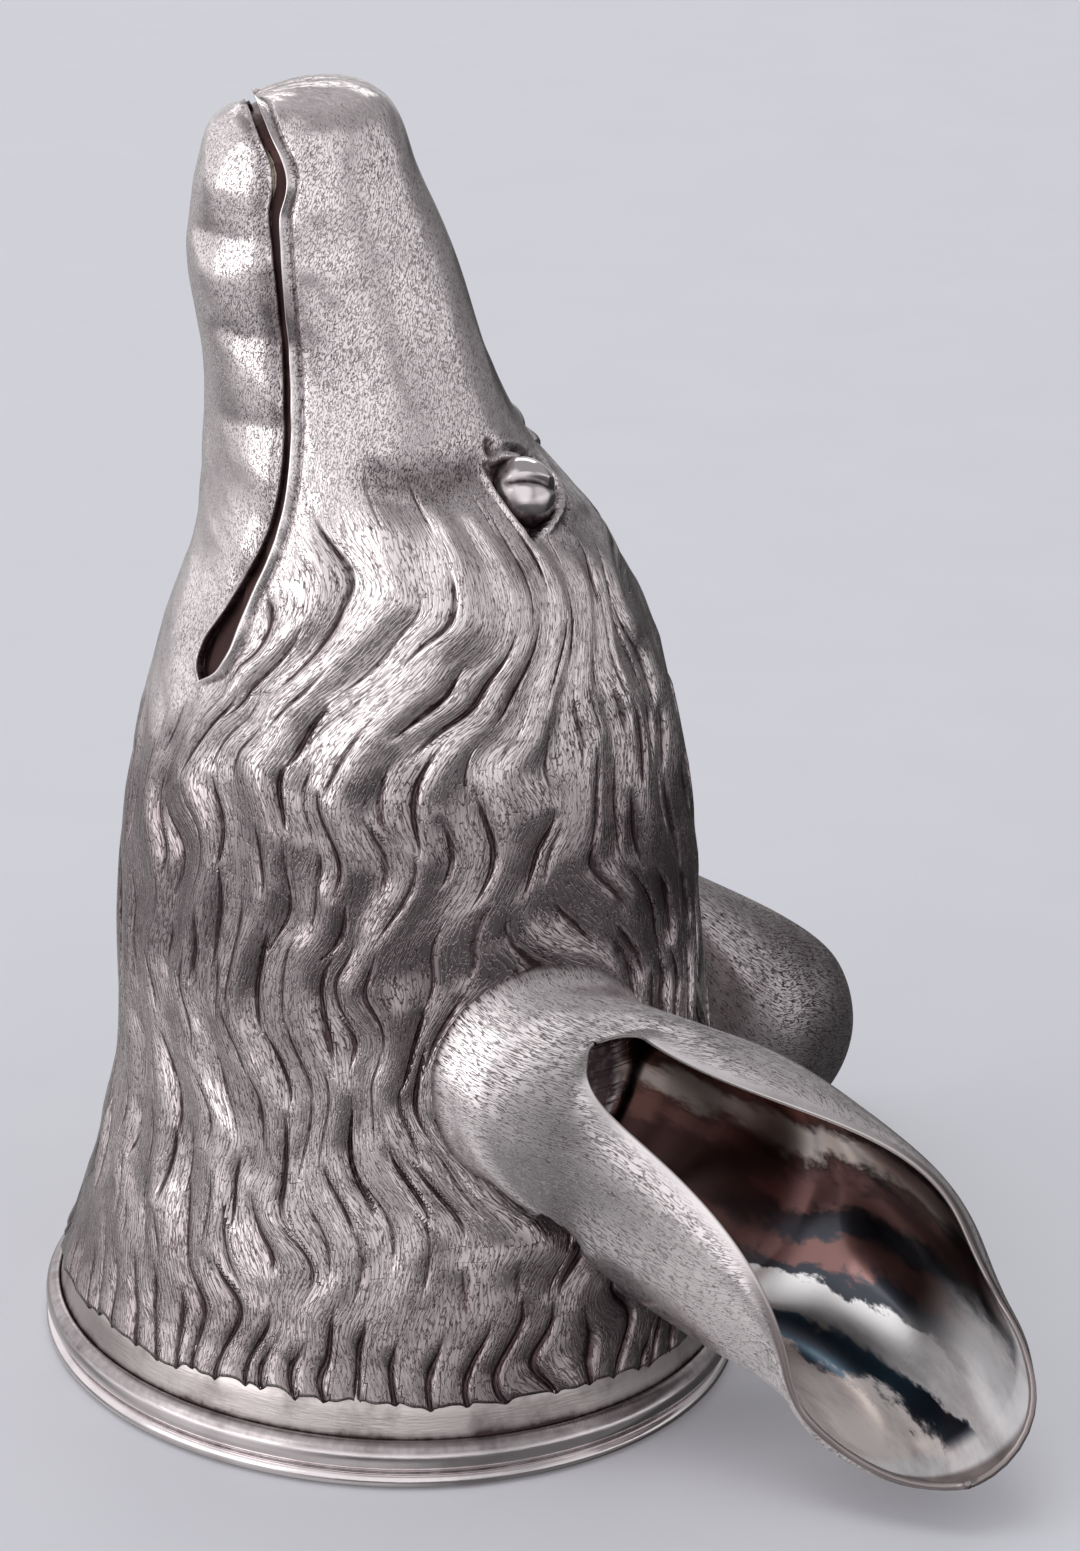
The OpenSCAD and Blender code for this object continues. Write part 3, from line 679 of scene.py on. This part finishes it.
# %% Outer sheet of the ear
root = ear_at(ear_g, a, ear_wall + flare + beaten_out)
ear_out = unit(np.cross(np.gradient(inner, axis=0), np.gradient(inner, axis=1)))
seam = unit(ear_out[:closed_rows + 1, 0] + ear_out[:closed_rows + 1, -1])
ear_out[:closed_rows + 1, 0] = seam
ear_out[:closed_rows + 1, -1] = seam
sheet = ear_wall * (1 - 0.5 * rim) + beaten_out + 0.45 * tip
by_root = down(ear_g, 0.3, 0.2)[:, None, None]
outer = by_root * root + (1 - by_root) * (inner + sheet[..., None] * ear_out)
middle = (outer + inner) / 2
thick = (outer - inner) / 2
swing = linspace(0, math.pi, 9)[1:-1]
bow = np.linalg.norm(thick, axis=2)[..., None]

# %% Rounded rim of the ear
def rim_points(column, sign):
    way = unit(np.cross(ear_out[:, column], np.gradient(middle[:, column], axis=0)))
    way = sign * way * bow[:, column]
    c = cos(swing)[:, None]
    s = sin(swing)[:, None]
    return middle[:, column, None] + thick[:, column, None] * c + way[:, None] * s


last_rim = rim_points(ear_columns, 1)
first_rim = rim_points(0, -1)[:, ::-1]
loop = join([outer, last_rim, inner[:, ::-1], first_rim, outer[:, :1]], 1)
end_way = back_line(array([1.0]))[1][0]
tip_line = middle[-1]
round_tip = len(swing)
tip_line = join([tip_line, tip_line[[-1] * round_tip], tip_line[::-1], tip_line[[0] * (round_tip + 1)]])
ends = []
for angle in (math.pi / 6, math.pi / 3, math.pi / 2):
    rounded = tip_line + (loop[-1] - tip_line) * math.cos(angle)
    ends.append(rounded + end_way * math.sin(angle) * bow[-1].mean())
ear_loop = join([loop, array(ends)], 0)

# %% Faces of the ear
n = ear_columns + 1
keep = all_cells(ear_loop)
keep[:closed_rows, n - 1:n + len(swing)] = False
keep[:closed_rows, 2 * n + len(swing) - 1:] = False
base_out = arange(ear_columns)
base_in = 2 * n + len(swing) - 1 - base_out
base = stack([base_in, base_in - 1, base_out + 1, base_out], 1)
ear_quads = join([sheet_quads(ear_loop, keep), base])

# %% Values of the ear
def ear_value(outside, inside, rim_side):
    value = join([outside, rim_side, inside[:, ::-1], rim_side, outside[:, :1]], 1)
    return join([value] + [value[-1:]] * 3, 0)


rim_column = np.ones((len(ear_g), len(swing)))
turned = a * 15
edge = minimum(edge_gap, (2 - ear_g)[:, None] * 30)
# The ear's darkening value is painted shade: on the outside where the tube meets the head, and on the inside
# deep in the tube.
ear_values = {
    "across": ear_value(turned, turned, rim_column * 40),
    "along": ear_value(ear_long, ear_long, rim_column * ear_long[:, :1]),
    "inside": ear_value(0 * a, 1 + 0 * a, rim_column * 0.5),
    "bright": ear_value(rim ** 2, 1 + 0 * a, rim_column),
    "edge": ear_value(edge, edge, rim_column * 0),
    "shade_and_tarnish": ear_value(0.8 * hump(ear_g, 0.05)[:, None] + 0 * a,
                        0.75 * down(ear_g, 1.05, 0.5)[:, None] + 0 * a, rim_column * 0)}

# %% Both ears
# The far ear's outside is darkened more than the near ear's: painted shade on the far ear.
far_ear_painted_shade = clip(ear_values["shade_and_tarnish"] + 0.45 * (1 - ear_values["inside"]), 0, 1)
right_values = dict(ear_values, shade_and_tarnish=far_ear_painted_shade)
ear_flat = flat_map(ear_loop)
ears = []
for side, y, values in (("left", 1, ear_values), ("right", -1, right_values)):
    faces = ear_quads if y > 0 else ear_quads[:, ::-1]
    points = ear_loop.reshape(-1, 3) * array([1, y, 1])
    ears.append(make_piece(side + "_ear_leaf", side + "_ear", points, faces, values, ear_flat))

# %% [markdown]
# ## Neck band and lip
# Both are turned forms: a profile swept round the axis. The band carries on behind the fringe, so that the
# notches show silver and not a hole. The lip is a moulded wire with a bead, an incised line and a half-round
# moulding. Each profile point says how dark it is: tarnish sits in the corners, the band is darkened as
# painted shade under the fringe, and the upper half of the moulding carries a painted dark reflection.

# %% Turned pieces
def turned_piece(name, node, profile):
    profile = array(profile)
    angle = linspace(0, 2 * math.pi, 289)
    wobble = 0.05 * sin(3 * angle + 0.7) + 0.03 * sin(7 * angle)
    r = profile[:, :1] + wobble * ease(profile[:, :1] - 42)
    p = stack([r * cos(angle), r * sin(angle), profile[:, 1:2] + 0 * angle], -1)
    values = {"shade_and_tarnish": profile[:, 2:] + 0 * angle}
    quads = sheet_quads(p, all_cells(p))
    return make_piece(name, node, p.reshape(-1, 3), quads, values, flat_map(p))


def arc_points(cr, cz, rr, rz, start, end, count, shade_and_tarnish):
    turn_by = np.radians(linspace(start, end, count))
    return [[cr + rr * math.cos(q), cz + rz * math.sin(q), shade_and_tarnish] for q in turn_by]

# %% Lip and band
# The third number of each profile point is its darkening: tarnish in the incised line and the corners,
# painted shade on the band where the fringe hangs over it, and a painted dark reflection on the upper arc of
# the half-round moulding.
lip_profile = [[41.4, 0.25, 0.1], [41.6, 0.0, 0.3], [43.9, 0.0, 0.3]]
lip_profile += arc_points(44.05, 0.9, 0.92, 0.88, -80, 72, 15, 0.0)
lip_profile += [[44.18, 1.8, 0.6], [44.0, 1.88, 0.9], [44.18, 1.98, 0.6]]
lip_profile += arc_points(43.35, 3.92, 1.66, 2.03, -62, 18, 14, 0.0)
lip_profile += arc_points(43.35, 3.92, 1.66, 2.03, 30, 84, 8, 0.55)
lip_profile += [[43.32, 5.95, 0.8], [43.2, 5.7, 1.0], [42.6, 5.4, 1.0], [41.7, 5.2, 0.5], [41.4, 4.8, 0.2]]
lip = turned_piece("lip_wire", "lip_ring", lip_profile + lip_profile[:1])
band_profile = [[41.3, 5.3, 0.2], [42.6, 5.35, 1.0], [43.12, 5.5, 1.0], [43.1, 5.95, 0.95]]
band_profile += [[42.98, 6.4, 0.5], [42.86, 7.0, 0.15], [42.7, 7.8, 0.1], [42.55, 8.6, 0.1]]
band_profile += [[42.4, 9.4, 0.12], [42.15, 10.2, 0.2], [41.7, 11.2, 0.35], [41.2, 12.6, 0.5]]
band_profile += [[40.9, 13.0, 0.6], [40.6, 12.6, 0.3], [40.5, 10.4, 0.2], [40.9, 7.6, 0.2]]
band = turned_piece("neck_band_plain", "neck_band", band_profile + band_profile[:1])

# %% [markdown]
# ## Finishes shared by all the silver
# Effects that come back on several surfaces are node groups. The tarnish group darkens by a given share,
# which holds tarnish in recesses and painted shade where the surface values carry it, and leaves cloudy
# tarnish patches. `Chased lines` are fine cuts along the comb, `Punched dashes` the short tool marks of
# muzzle and ears. `Hand polish` varies the gloss. The shader itself stays in each material, so the exporter
# can read it. The helpers find the node tree from the socket that they are given.

# %% Node helpers
def plug(node, feeds):
    feeds = feeds.items() if isinstance(feeds, dict) else enumerate(feeds)
    for key, value in feeds:
        if isinstance(value, bpy.types.NodeSocket):
            value.id_data.links.new(value, node.inputs[key])
        else:
            node.inputs[key].default_value = value


def add(tree, kind, feeds=(), **settings):
    made = tree.nodes.new("ShaderNode" + kind)
    for key, value in settings.items():
        setattr(made, key, value)
    plug(made, feeds)
    return made


def maths(operation, *feeds, clamp=False):
    tree = next(feed.id_data for feed in feeds if isinstance(feed, bpy.types.NodeSocket))
    return add(tree, "Math", feeds, operation=operation, use_clamp=clamp).outputs[0]


times = partial(maths, "MULTIPLY")
times_plus = partial(maths, "MULTIPLY_ADD")
plus = partial(maths, "ADD")
minus = partial(maths, "SUBTRACT")


def ramp(value, low, high, to_low=0.0, to_high=1.0):
    feeds = (value, low, high, to_low, to_high)
    return add(value.id_data, "MapRange", feeds, interpolation_type="SMOOTHSTEP").outputs[0]


def mix_value(share, one, two):
    return add(share.id_data, "Mix", {0: share, 2: one, 3: two}).outputs[0]


def tinted(share, one, two):
    return add(share.id_data, "Mix", {0: share, 6: one, 7: two}, data_type="RGBA").outputs[2]


def point(x, y, z=0.0):
    return add(x.id_data, "CombineXYZ", (x, y, z)).outputs[0]


def noise(spot, scale, detail, rough=0.5, **settings):
    feeds = {"Vector": spot, "Scale": scale, "Detail": detail, "Roughness": rough}
    return add(spot.id_data, "TexNoise", feeds, **settings).outputs["Fac"]

# %% Group helpers
def new_group(name, takes, gives):
    tree = bpy.data.node_groups.new(name, "ShaderNodeTree")
    for title, value in takes.items():
        kind = "NodeSocket" + ("Color" if isinstance(value, tuple) else "Float")
        tree.interface.new_socket(title, in_out="INPUT", socket_type=kind).default_value = value
    for title in gives:
        kind = "NodeSocket" + ("Color" if title == "Color" else "Float")
        tree.interface.new_socket(title, in_out="OUTPUT", socket_type=kind)
    return tree, tree.nodes.new("NodeGroupInput").outputs, tree.nodes.new("NodeGroupOutput")


def place_group(tree, group, feeds):
    return add(tree, "Group", feeds, node_tree=group).outputs


def tool_marks(group, across, along, pitch, length):
    feeds = {"Across": across, "Along": along, "Pitch": pitch, "Length": length}
    return place_group(across.id_data, group, feeds)


def carried(tree, *titles):
    return [add(tree, "Attribute", attribute_name=title).outputs["Fac"] for title in titles]

# %% Tarnish and painted shade
tarnish_and_shade_takes = {"Silver": (0.9, 0.88, 0.86, 1), "Dark": (0.07, 0.05, 0.048, 1),
                 "Shade_and_tarnish": 0.0, "Clouds": 0.2, "Scale": 60.0}
tarnish_and_shade, takes, gives = new_group("Tarnish_and_shade", tarnish_and_shade_takes, ["Color", "Mask"])
spot = add(tarnish_and_shade, "TexCoord").outputs["Object"]
cloud = noise(spot, takes["Scale"], 5.0, 0.6)
speck = noise(spot, 900.0, 2.0)
patch = times(ramp(cloud, 0.46, 0.72), takes["Clouds"])
# The share fed in darkens the silver: tarnish in recesses, and painted shade where the surface values carry
# it.
deep = times(takes["Shade_and_tarnish"], times_plus(speck, 0.7, 0.62))
mask = plus(deep, patch, clamp=True)
tint = tinted(cloud, takes["Dark"], (0.115, 0.075, 0.085, 1))
plug(gives, {"Color": tinted(mask, takes["Silver"], tint), "Mask": mask})

# %% Chased lines
marks_take = {"Across": 0.0, "Along": 0.0, "Pitch": 0.62}
chased, takes, gives = new_group("Chased lines", {**marks_take, "Length": 6.0}, ["Height", "Mask"])
comb_y = maths("DIVIDE", takes["Along"], takes["Length"])
wander = noise(point(times(takes["Across"], 0.45), comb_y), 1.0, 1.0)
phase = times_plus(wander, 3.0, maths("DIVIDE", takes["Across"], takes["Pitch"]))
line = maths("SINE", times(phase, 2 * math.pi))
broken = noise(point(times(takes["Across"], 1.3), comb_y, 3.0), 1.7, 1.0)
cut = times(ramp(line, 0.25, -0.85), ramp(broken, 0.36, 0.58, 0.1, 1.0))
plug(gives, {"Height": minus(1.0, cut), "Mask": cut})

# %% Punched dashes
punched, takes, gives = new_group("Punched dashes", {**marks_take, "Length": 1.5}, ["Height", "Mask"])
dash_x = maths("DIVIDE", takes["Across"], takes["Pitch"])
dash_y = maths("DIVIDE", takes["Along"], takes["Length"])
cell = noise(point(dash_x, dash_y), 1.0, 2.0, 0.6, noise_dimensions="2D")
hit = ramp(maths("ABSOLUTE", minus(cell, 0.47)), 0.0, 0.065)
plug(gives, {"Height": hit, "Mask": minus(1.0, hit)})

# %% Hand polish
polish_takes = {"Gloss": 0.12, "Dull": 0.3, "Scale": 45.0}
polish, takes, gives = new_group("Hand polish", polish_takes, ["Roughness", "Height"])
spot = add(polish, "TexCoord").outputs["Object"]
smear = noise(spot, takes["Scale"], 4.0)
rub = add(polish, "Mapping", {"Vector": spot, "Scale": (500.0, 500.0, 4000.0), "Rotation": (0.5, 0.4, 0.2)})
spread = minus(takes["Dull"], takes["Gloss"])
gloss = times_plus(ramp(smear, 0.3, 0.7), spread, takes["Gloss"])
plug(gives, {"Roughness": gloss, "Height": noise(rub.outputs[0], 1.0, 2.0)})
print("Shared finishes:", *bpy.data.node_groups.keys())

# %% [markdown]
# ## Chased silver for the head
# The head mixes two textures by its `coat` value: combed lines where there is hair, punched dashes on the
# muzzle. Both are far finer than the mesh, so they are bump on top of the real grooves. Polished edges keep
# neither. Tarnish fills the grooves and makes the relief read; the same darkening also carries painted shade
# in the socket, folds and creases. The hair's base tone changes in bands by height, as painted light and
# shade.

# %% Materials
def start_material(name):
    made = bpy.data.materials.new(name)
    made.use_nodes = True
    shader = made.node_tree.nodes["Principled BSDF"]
    shader.inputs["Metallic"].default_value = 1.0
    return made, made.node_tree, shader


def finish_material(shader, colour, rough, height, strength, distance):
    bump = add(shader.id_data, "Bump", {"Strength": strength, "Distance": distance, "Height": height})
    plug(shader, {"Base Color": colour, "Roughness": rough, "Normal": bump.outputs[0]})

# %% Head texture
chased_silver, tree, shader = start_material("chased_silver")
across_v, along_v, round_v, coat_v = carried(tree, "across", "along", "round", "coat")
shade_and_tarnish_v, bright_v, beside_v, power_v = carried(tree, "shade_and_tarnish", "bright", "beside", "power")
lines = tool_marks(chased, across_v, along_v, 0.46, 4.0)
slant_x = times_plus(along_v, 0.5, times(round_v, 0.87))
slant_y = times_plus(round_v, -0.5, times(along_v, 0.87))
dashes = tool_marks(punched, slant_x, slant_y, 0.28, 0.9)
strokes = tool_marks(punched, across_v, along_v, 0.5, 2.4)
cleft = times(maths("EXPONENT", times(times(beside_v, beside_v), -1.0)), power_v)
matt = minus(1.0, bright_v, clamp=True)
line_h = times_plus(strokes["Height"], 0.03, times(lines["Height"], 0.02))
dash_h = times(dashes["Height"], 0.03)
height_v = times(mix_value(coat_v, dash_h, line_h), matt)
height_v = times_plus(cleft, -0.3, height_v)

# %% Head tones
line_cut = times_plus(strokes["Mask"], 0.75, times(lines["Mask"], 0.35))
cut_v = mix_value(coat_v, dashes["Mask"], line_cut)
fine = times(times(cut_v, matt), 0.85)
shade_and_tarnish_share = plus(plus(shade_and_tarnish_v, fine), cleft, clamp=True)
# The hair's base tone is painted in bands by height: dark at the fringe, light above it, dark again at mid
# height and light toward the top. These bands are painted light and shade.
hair_tone_painted_bands = (0.38, 0.335, 0.34, 1)
hair_tone_painted_bands = tinted(ramp(along_v, 18, 34), hair_tone_painted_bands, (0.72, 0.65, 0.655, 1))
hair_tone_painted_bands = tinted(ramp(along_v, 46, 64), hair_tone_painted_bands, (0.44, 0.385, 0.395, 1))
hair_tone_painted_bands = tinted(ramp(along_v, 76, 96), hair_tone_painted_bands, (0.88, 0.81, 0.815, 1))
tone = tinted(coat_v, (0.92, 0.85, 0.86, 1), hair_tone_painted_bands)
feeds = {"Silver": tone, "Dark": (0.05, 0.034, 0.035, 1), "Shade_and_tarnish": shade_and_tarnish_share, "Clouds": 0.3, "Scale": 70.0}
dark = place_group(tree, tarnish_and_shade, feeds)
rub = place_group(tree, polish, {"Gloss": 0.09, "Dull": 0.2, "Scale": 60.0})
rough = minus(times_plus(shade_and_tarnish_share, 0.25, rub["Roughness"]), times(bright_v, 0.08))
finish_material(shader, dark["Color"], rough, height_v, 1.0, 0.001)
head_skin.data.materials.append(chased_silver)

# %% [markdown]
# ## Ear silver
# Outside, the ear has the punched dashes of the muzzle. Inside it is smooth and carries painted reflections
# in
# lengthwise streaks: brown, rose and ink at the top, then white, blue and a pale edge. A colour ramp across
# the leaf, shaken by noise, draws them under a clear gloss. Deep in the tube all goes dark as painted shade,
# and toward the tip the pale streaks are painted highlights with a frosted, non-metallic finish.

# %% Ear outside
ear_silver, tree, shader = start_material("ear_silver")
across_v, along_v, edge_v = carried(tree, "across", "along", "edge")
inside_v, bright_v, shade_and_tarnish_v = carried(tree, "inside", "bright", "shade_and_tarnish")
dashes = tool_marks(punched, across_v, along_v, 0.3, 2.2)
rub = place_group(tree, polish, {"Gloss": 0.2, "Dull": 0.3, "Scale": 50.0})
matt = minus(1.0, bright_v, clamp=True)
fine = times(times(dashes["Mask"], matt), 0.85)
shade_and_tarnish_share = plus(shade_and_tarnish_v, fine, clamp=True)
feeds = {"Silver": (0.94, 0.88, 0.89, 1), "Dark": (0.055, 0.04, 0.04, 1), "Shade_and_tarnish": shade_and_tarnish_share}
dark = place_group(tree, tarnish_and_shade, {**feeds, "Clouds": 0.2, "Scale": 60.0})

# %% Streaks of painted reflection in the ear
streak = noise(point(times(across_v, 0.13), times(along_v, 0.05)), 1.0, 6.0, 0.65)
shaken = times_plus(streak, 16.0, across_v)
in_ramp = times_plus(times_plus(along_v, 0.25, shaken), 1 / 45, 0.24)
reflection_ramp = add(tree, "ValToRGB", (in_ramp,))
brown, rose, cream, pale = (0.08, 0.045, 0.042), (0.25, 0.13, 0.12), (0.85, 0.77, 0.71), (0.85, 0.79, 0.76)
ink, steel, white, blue = (0.03, 0.027, 0.033), (0.05, 0.055, 0.07), (0.97, 0.95, 0.95), (0.09, 0.18, 0.27)
reflection_streaks = [
    (0.0, brown), (0.11, (0.2, 0.07, 0.05)), (0.155, brown), (0.19, cream), (0.245, cream), (0.28, brown),
    (0.31, rose), (0.35, rose), (0.38, ink), (0.455, steel), (0.485, rose), (0.53, rose), (0.55, steel),
    (0.59, steel), (0.605, white), (0.7, white), (0.72, blue), (0.81, blue), (0.833, pale), (0.93, pale)]
marks = reflection_ramp.color_ramp.elements
for spot_at, colour in reflection_streaks:
    marks.new(spot_at).color = (*colour, 1)
marks[0].color = (*brown, 1)
marks[-1].color = (*pale, 1)

# %% Painted shade deep in the tube and painted highlights at the tip
tube_shade = times(ramp(along_v, 38, 20), 0.8)
reflected_tone = tinted(tube_shade, reflection_ramp.outputs["Color"], (0.045, 0.02, 0.016, 1))
at_tip = ramp(along_v, 52, 61)
# The pale streak at the tip, the tip's edge and the pale side streak are painted highlights; there the silver
# turns pale and less metallic.
tip_highlight = times(times(at_tip, ramp(shaken, -10, -4)), ramp(in_ramp, 0.725, 0.7))
tip_edge_highlight = times(at_tip, ramp(edge_v, 5.0, 3.0))
tip_highlight = maths("MAXIMUM", times(tip_highlight, 0.9), tip_edge_highlight)
reflected_tone = tinted(tip_highlight, reflected_tone, (0.95, 0.93, 0.93, 1))
side_highlight = times(ramp(in_ramp, 0.81, 0.84), ramp(along_v, 42, 54))
frosted_highlight = times(maths("MAXIMUM", tip_highlight, side_highlight), ramp(streak, 0.35, 0.6, 0.45, 0.8))
frosted_highlight = times(frosted_highlight, inside_v)

# %% Ear finish
tone = tinted(inside_v, dark["Color"], reflected_tone)
flange = times(ramp(along_v, 40, 58), ramp(edge_v, 1.5, 0.8))
tone = tinted(times(flange, 0.85), tone, (0.17, 0.125, 0.12, 1))
satin = times_plus(streak, 0.2, 0.12)
rough = mix_value(inside_v, times_plus(shade_and_tarnish_share, 0.2, rub["Roughness"]), satin)
clear_coat = times(inside_v, ramp(along_v, 22, 44, 0.0, 0.6))
plug(shader, {"Metallic": minus(1.0, frosted_highlight), "Coat Weight": clear_coat, "Coat Roughness": 0.1})
finish_material(shader, tone, rough, times(dashes["Height"], matt), 1.0, 0.000035)
for ear in ears:
    ear.data.materials.append(ear_silver)

# %% [markdown]
# ## Plain polished silver
# Lip, band, eyes, lining and the strip behind the mouth differ only in gloss, warmth and darkening, so one
# function makes their silver from the shared groups. Their darkening is tarnish, with painted shade and
# reflection where the lip, band and eye values carry it; the strip behind the mouth is dark brown all over
# as painted shade inside the slit.

# %% Plain finishes
def plain_silver(name, pieces, silver, dark_colour, clouds, cloud_scale, gloss, dull, scratch, reads_recess=True):
    made, tree, shader = start_material(name)
    rub = place_group(tree, polish, {"Gloss": gloss, "Dull": dull, "Scale": 40.0})
    feeds = {"Clouds": clouds, "Scale": cloud_scale, "Silver": (*silver, 1), "Dark": (*dark_colour, 1)}
    if reads_recess:
        feeds["Shade_and_tarnish"] = carried(tree, "shade_and_tarnish")[0]
    dark = place_group(tree, tarnish_and_shade, feeds)
    rough = times_plus(dark["Mask"], 0.25, rub["Roughness"])
    finish_material(shader, dark["Color"], rough, rub["Height"], scratch, 0.00005)
    for piece in pieces:
        piece.data.materials.append(made)
    return made


plain_silver("lip_silver", [lip], (0.82, 0.76, 0.77), (0.05, 0.04, 0.035), 0.25, 90, 0.1, 0.2, 0.25)
plain_silver("band_silver", [band], (0.78, 0.71, 0.70), (0.07, 0.055, 0.045), 0.5, 130, 0.22, 0.36, 0.4)
plain_silver("eye_silver", eyes, (0.8, 0.74, 0.75), (0.03, 0.024, 0.024), 0.15, 160, 0.06, 0.12, 0.15)
gold, amber, slit_shade, slit_deep_shade = (0.82, 0.74, 0.6), (0.2, 0.14, 0.08), (0.06, 0.034, 0.032), (0.03, 0.014, 0.014)
plain_silver("lining_silver", [head_lining], gold, amber, 0.3, 30, 0.18, 0.34, 0.3, False)
# The strip behind the mouth is dark brown all over: painted shade inside the slit.
mouth_painted_shade = plain_silver("mouth_painted_shade", [], slit_shade, slit_deep_shade, 0.7, 80, 0.2, 0.36, 0.3, False)
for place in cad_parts["mouth_backing"].material_slots:
    place.material = mouth_painted_shade
print("Finishes:", *bpy.data.materials.keys())

# %% [markdown]
# ## Floor and light
# Silver shows what stands around it, so light here means shapes to reflect. Three lamps light the paper and
# draw the shadow. The reflections come from the world: a dim room with a paler horizon, soft glows where
# boards and windows would stand, and one dark side. The floor is kept out of the reflections.

# %% Floor
floor_mesh = bpy.data.meshes.new("floor")
reach = 4.0
corners = [(-reach, -reach, 0), (reach, -reach, 0), (reach, reach, 0), (-reach, reach, 0)]
floor_mesh.from_pydata(corners, [], [(0, 1, 2, 3)])
floor = put_in_scene("floor", floor_mesh)
floor.location.z = -0.0002
floor.visible_glossy = False
paper = bpy.data.materials.new("pale_paper")
paper.use_nodes = True
grain = add(paper.node_tree, "TexNoise", {"Scale": 300.0, "Detail": 3.0}).outputs["Fac"]
paper_tone = tinted(grain, (0.72, 0.72, 0.76, 1), (0.76, 0.76, 0.795, 1))
plug(paper.node_tree.nodes["Principled BSDF"],
     {"Base Color": paper_tone, "Roughness": 0.7, "Specular IOR Level": 0.2})
floor_mesh.materials.append(paper)

# %% Soft boxes
def soft_box(name, place, wide, high, power):
    lamp = bpy.data.lights.new(name, "AREA")
    lamp.shape = "RECTANGLE"
    lamp.size = wide
    lamp.size_y = high
    lamp.energy = power
    holder = put_in_scene(name, lamp)
    holder.location = place
    aim = Vector((0.0, 0.0, 0.08))
    holder.rotation_euler = (aim - Vector(place)).to_track_quat("-Z", "Y").to_euler()
    return holder


soft_box("left_box", (-1.0, -0.5, 0.45), 1.0, 0.9, 3.2)
soft_box("back_box", (0.1, 1.3, 0.9), 1.2, 0.5, 2.5)
top_box = soft_box("top_box", (-0.2, -0.1, 1.7), 0.8, 0.8, 4)
top_box.visible_glossy = False

# %% Room for the silver to reflect
world = bpy.data.worlds.new("studio")
bpy.context.scene.world = world
world.use_nodes = True
room = world.node_tree
look = add(room, "TexCoord").outputs["Generated"]


def glow(way, low, high, strength):
    way = tuple(Vector(way).normalized())
    toward = add(room, "VectorMath", (look, way), operation="DOT_PRODUCT").outputs["Value"]
    return ramp(toward, low, high, 0.0, strength)


sides = add(room, "SeparateXYZ", (look,)).outputs
lift = sides["Z"]
level = minus(ramp(lift, -0.27, 0.0, 0.14, 0.6), ramp(lift, 0.02, 0.25, 0.0, 0.25))
close_floor = times(ramp(lift, -0.35, -0.75, 0.0, 0.32), ramp(sides["X"], 0.3, -0.2))
level = plus(level, close_floor)
glows = [((0.9, -0.35, 0.25), 0.8, 0.97, 0.3), ((-0.93, -0.33, 0.1), 0.5, 0.95, 0.5),
         ((-0.1, -0.88, 0.47), 0.72, 0.95, 0.6), ((-0.64, -0.11, 0.76), 0.8, 0.96, 0.55),
         ((-0.3, 0.95, -0.1), 0.6, 0.95, 0.25), ((-0.71, 0.6, 0.37), 0.8, 0.97, 0.6)]
for board in glows:
    level = plus(level, glow(*board))
level = minus(level, glow((0.72, 0.6, -0.35), 0.7, 0.95, 0.4))
level = maths("MAXIMUM", level, 0.05)
seen = add(room, "LightPath").outputs
mirrored = tinted(level, (0, 0, 0, 1), (1.0, 0.99, 1.0, 1))
shown = tinted(seen["Is Glossy Ray"], (0.6, 0.6, 0.63, 1), mirrored)
shown = tinted(seen["Is Camera Ray"], shown, (0.61, 0.61, 0.66, 1))
plug(room.nodes["Background"], {"Color": shown})
bpy.context.scene.view_settings.view_transform = "Standard"
print("Lamps:", *bpy.data.lights.keys())

# %% [markdown]
# ## Camera
# The viewing angle was worked out from the photograph: the lip's ellipse gives the height of the eye point,
# and its width gives the distance. A slight roll and turn put the cup in its place.

# %% Camera
azimuth, elevation, roll, yaw, pitch = map(math.radians, (-8, 28.3, 1.86, 1.63, 6.79))
distance = 0.6
flat_reach = math.cos(elevation)
back = Vector((math.sin(azimuth) * flat_reach, -math.cos(azimuth) * flat_reach, math.sin(elevation)))


def turn_pair(one, two, by):
    return one * math.cos(by) + two * math.sin(by), two * math.cos(by) - one * math.sin(by)


right = Vector((math.cos(azimuth), math.sin(azimuth), 0))
ahead = -back
above = right.cross(ahead)
ahead, right = turn_pair(ahead, right, yaw)
ahead, above = turn_pair(ahead, above, pitch)
right, above = turn_pair(right, above, roll)
focal_px, frame_px = 4551.75, 1551
view = bpy.data.cameras.new("view")
view.sensor_fit = "VERTICAL"
view.sensor_height = 36.0
view.lens = focal_px * view.sensor_height / frame_px
view.clip_start = 0.01
camera = put_in_scene("view", view)
turn_axes = Matrix((right, above, -ahead)).transposed()
camera.matrix_world = Matrix.Translation(distance * back) @ turn_axes.to_4x4()
bpy.context.scene.camera = camera
print("Camera", [round(c, 3) for c in camera.location], "lens", round(view.lens, 1), "mm")
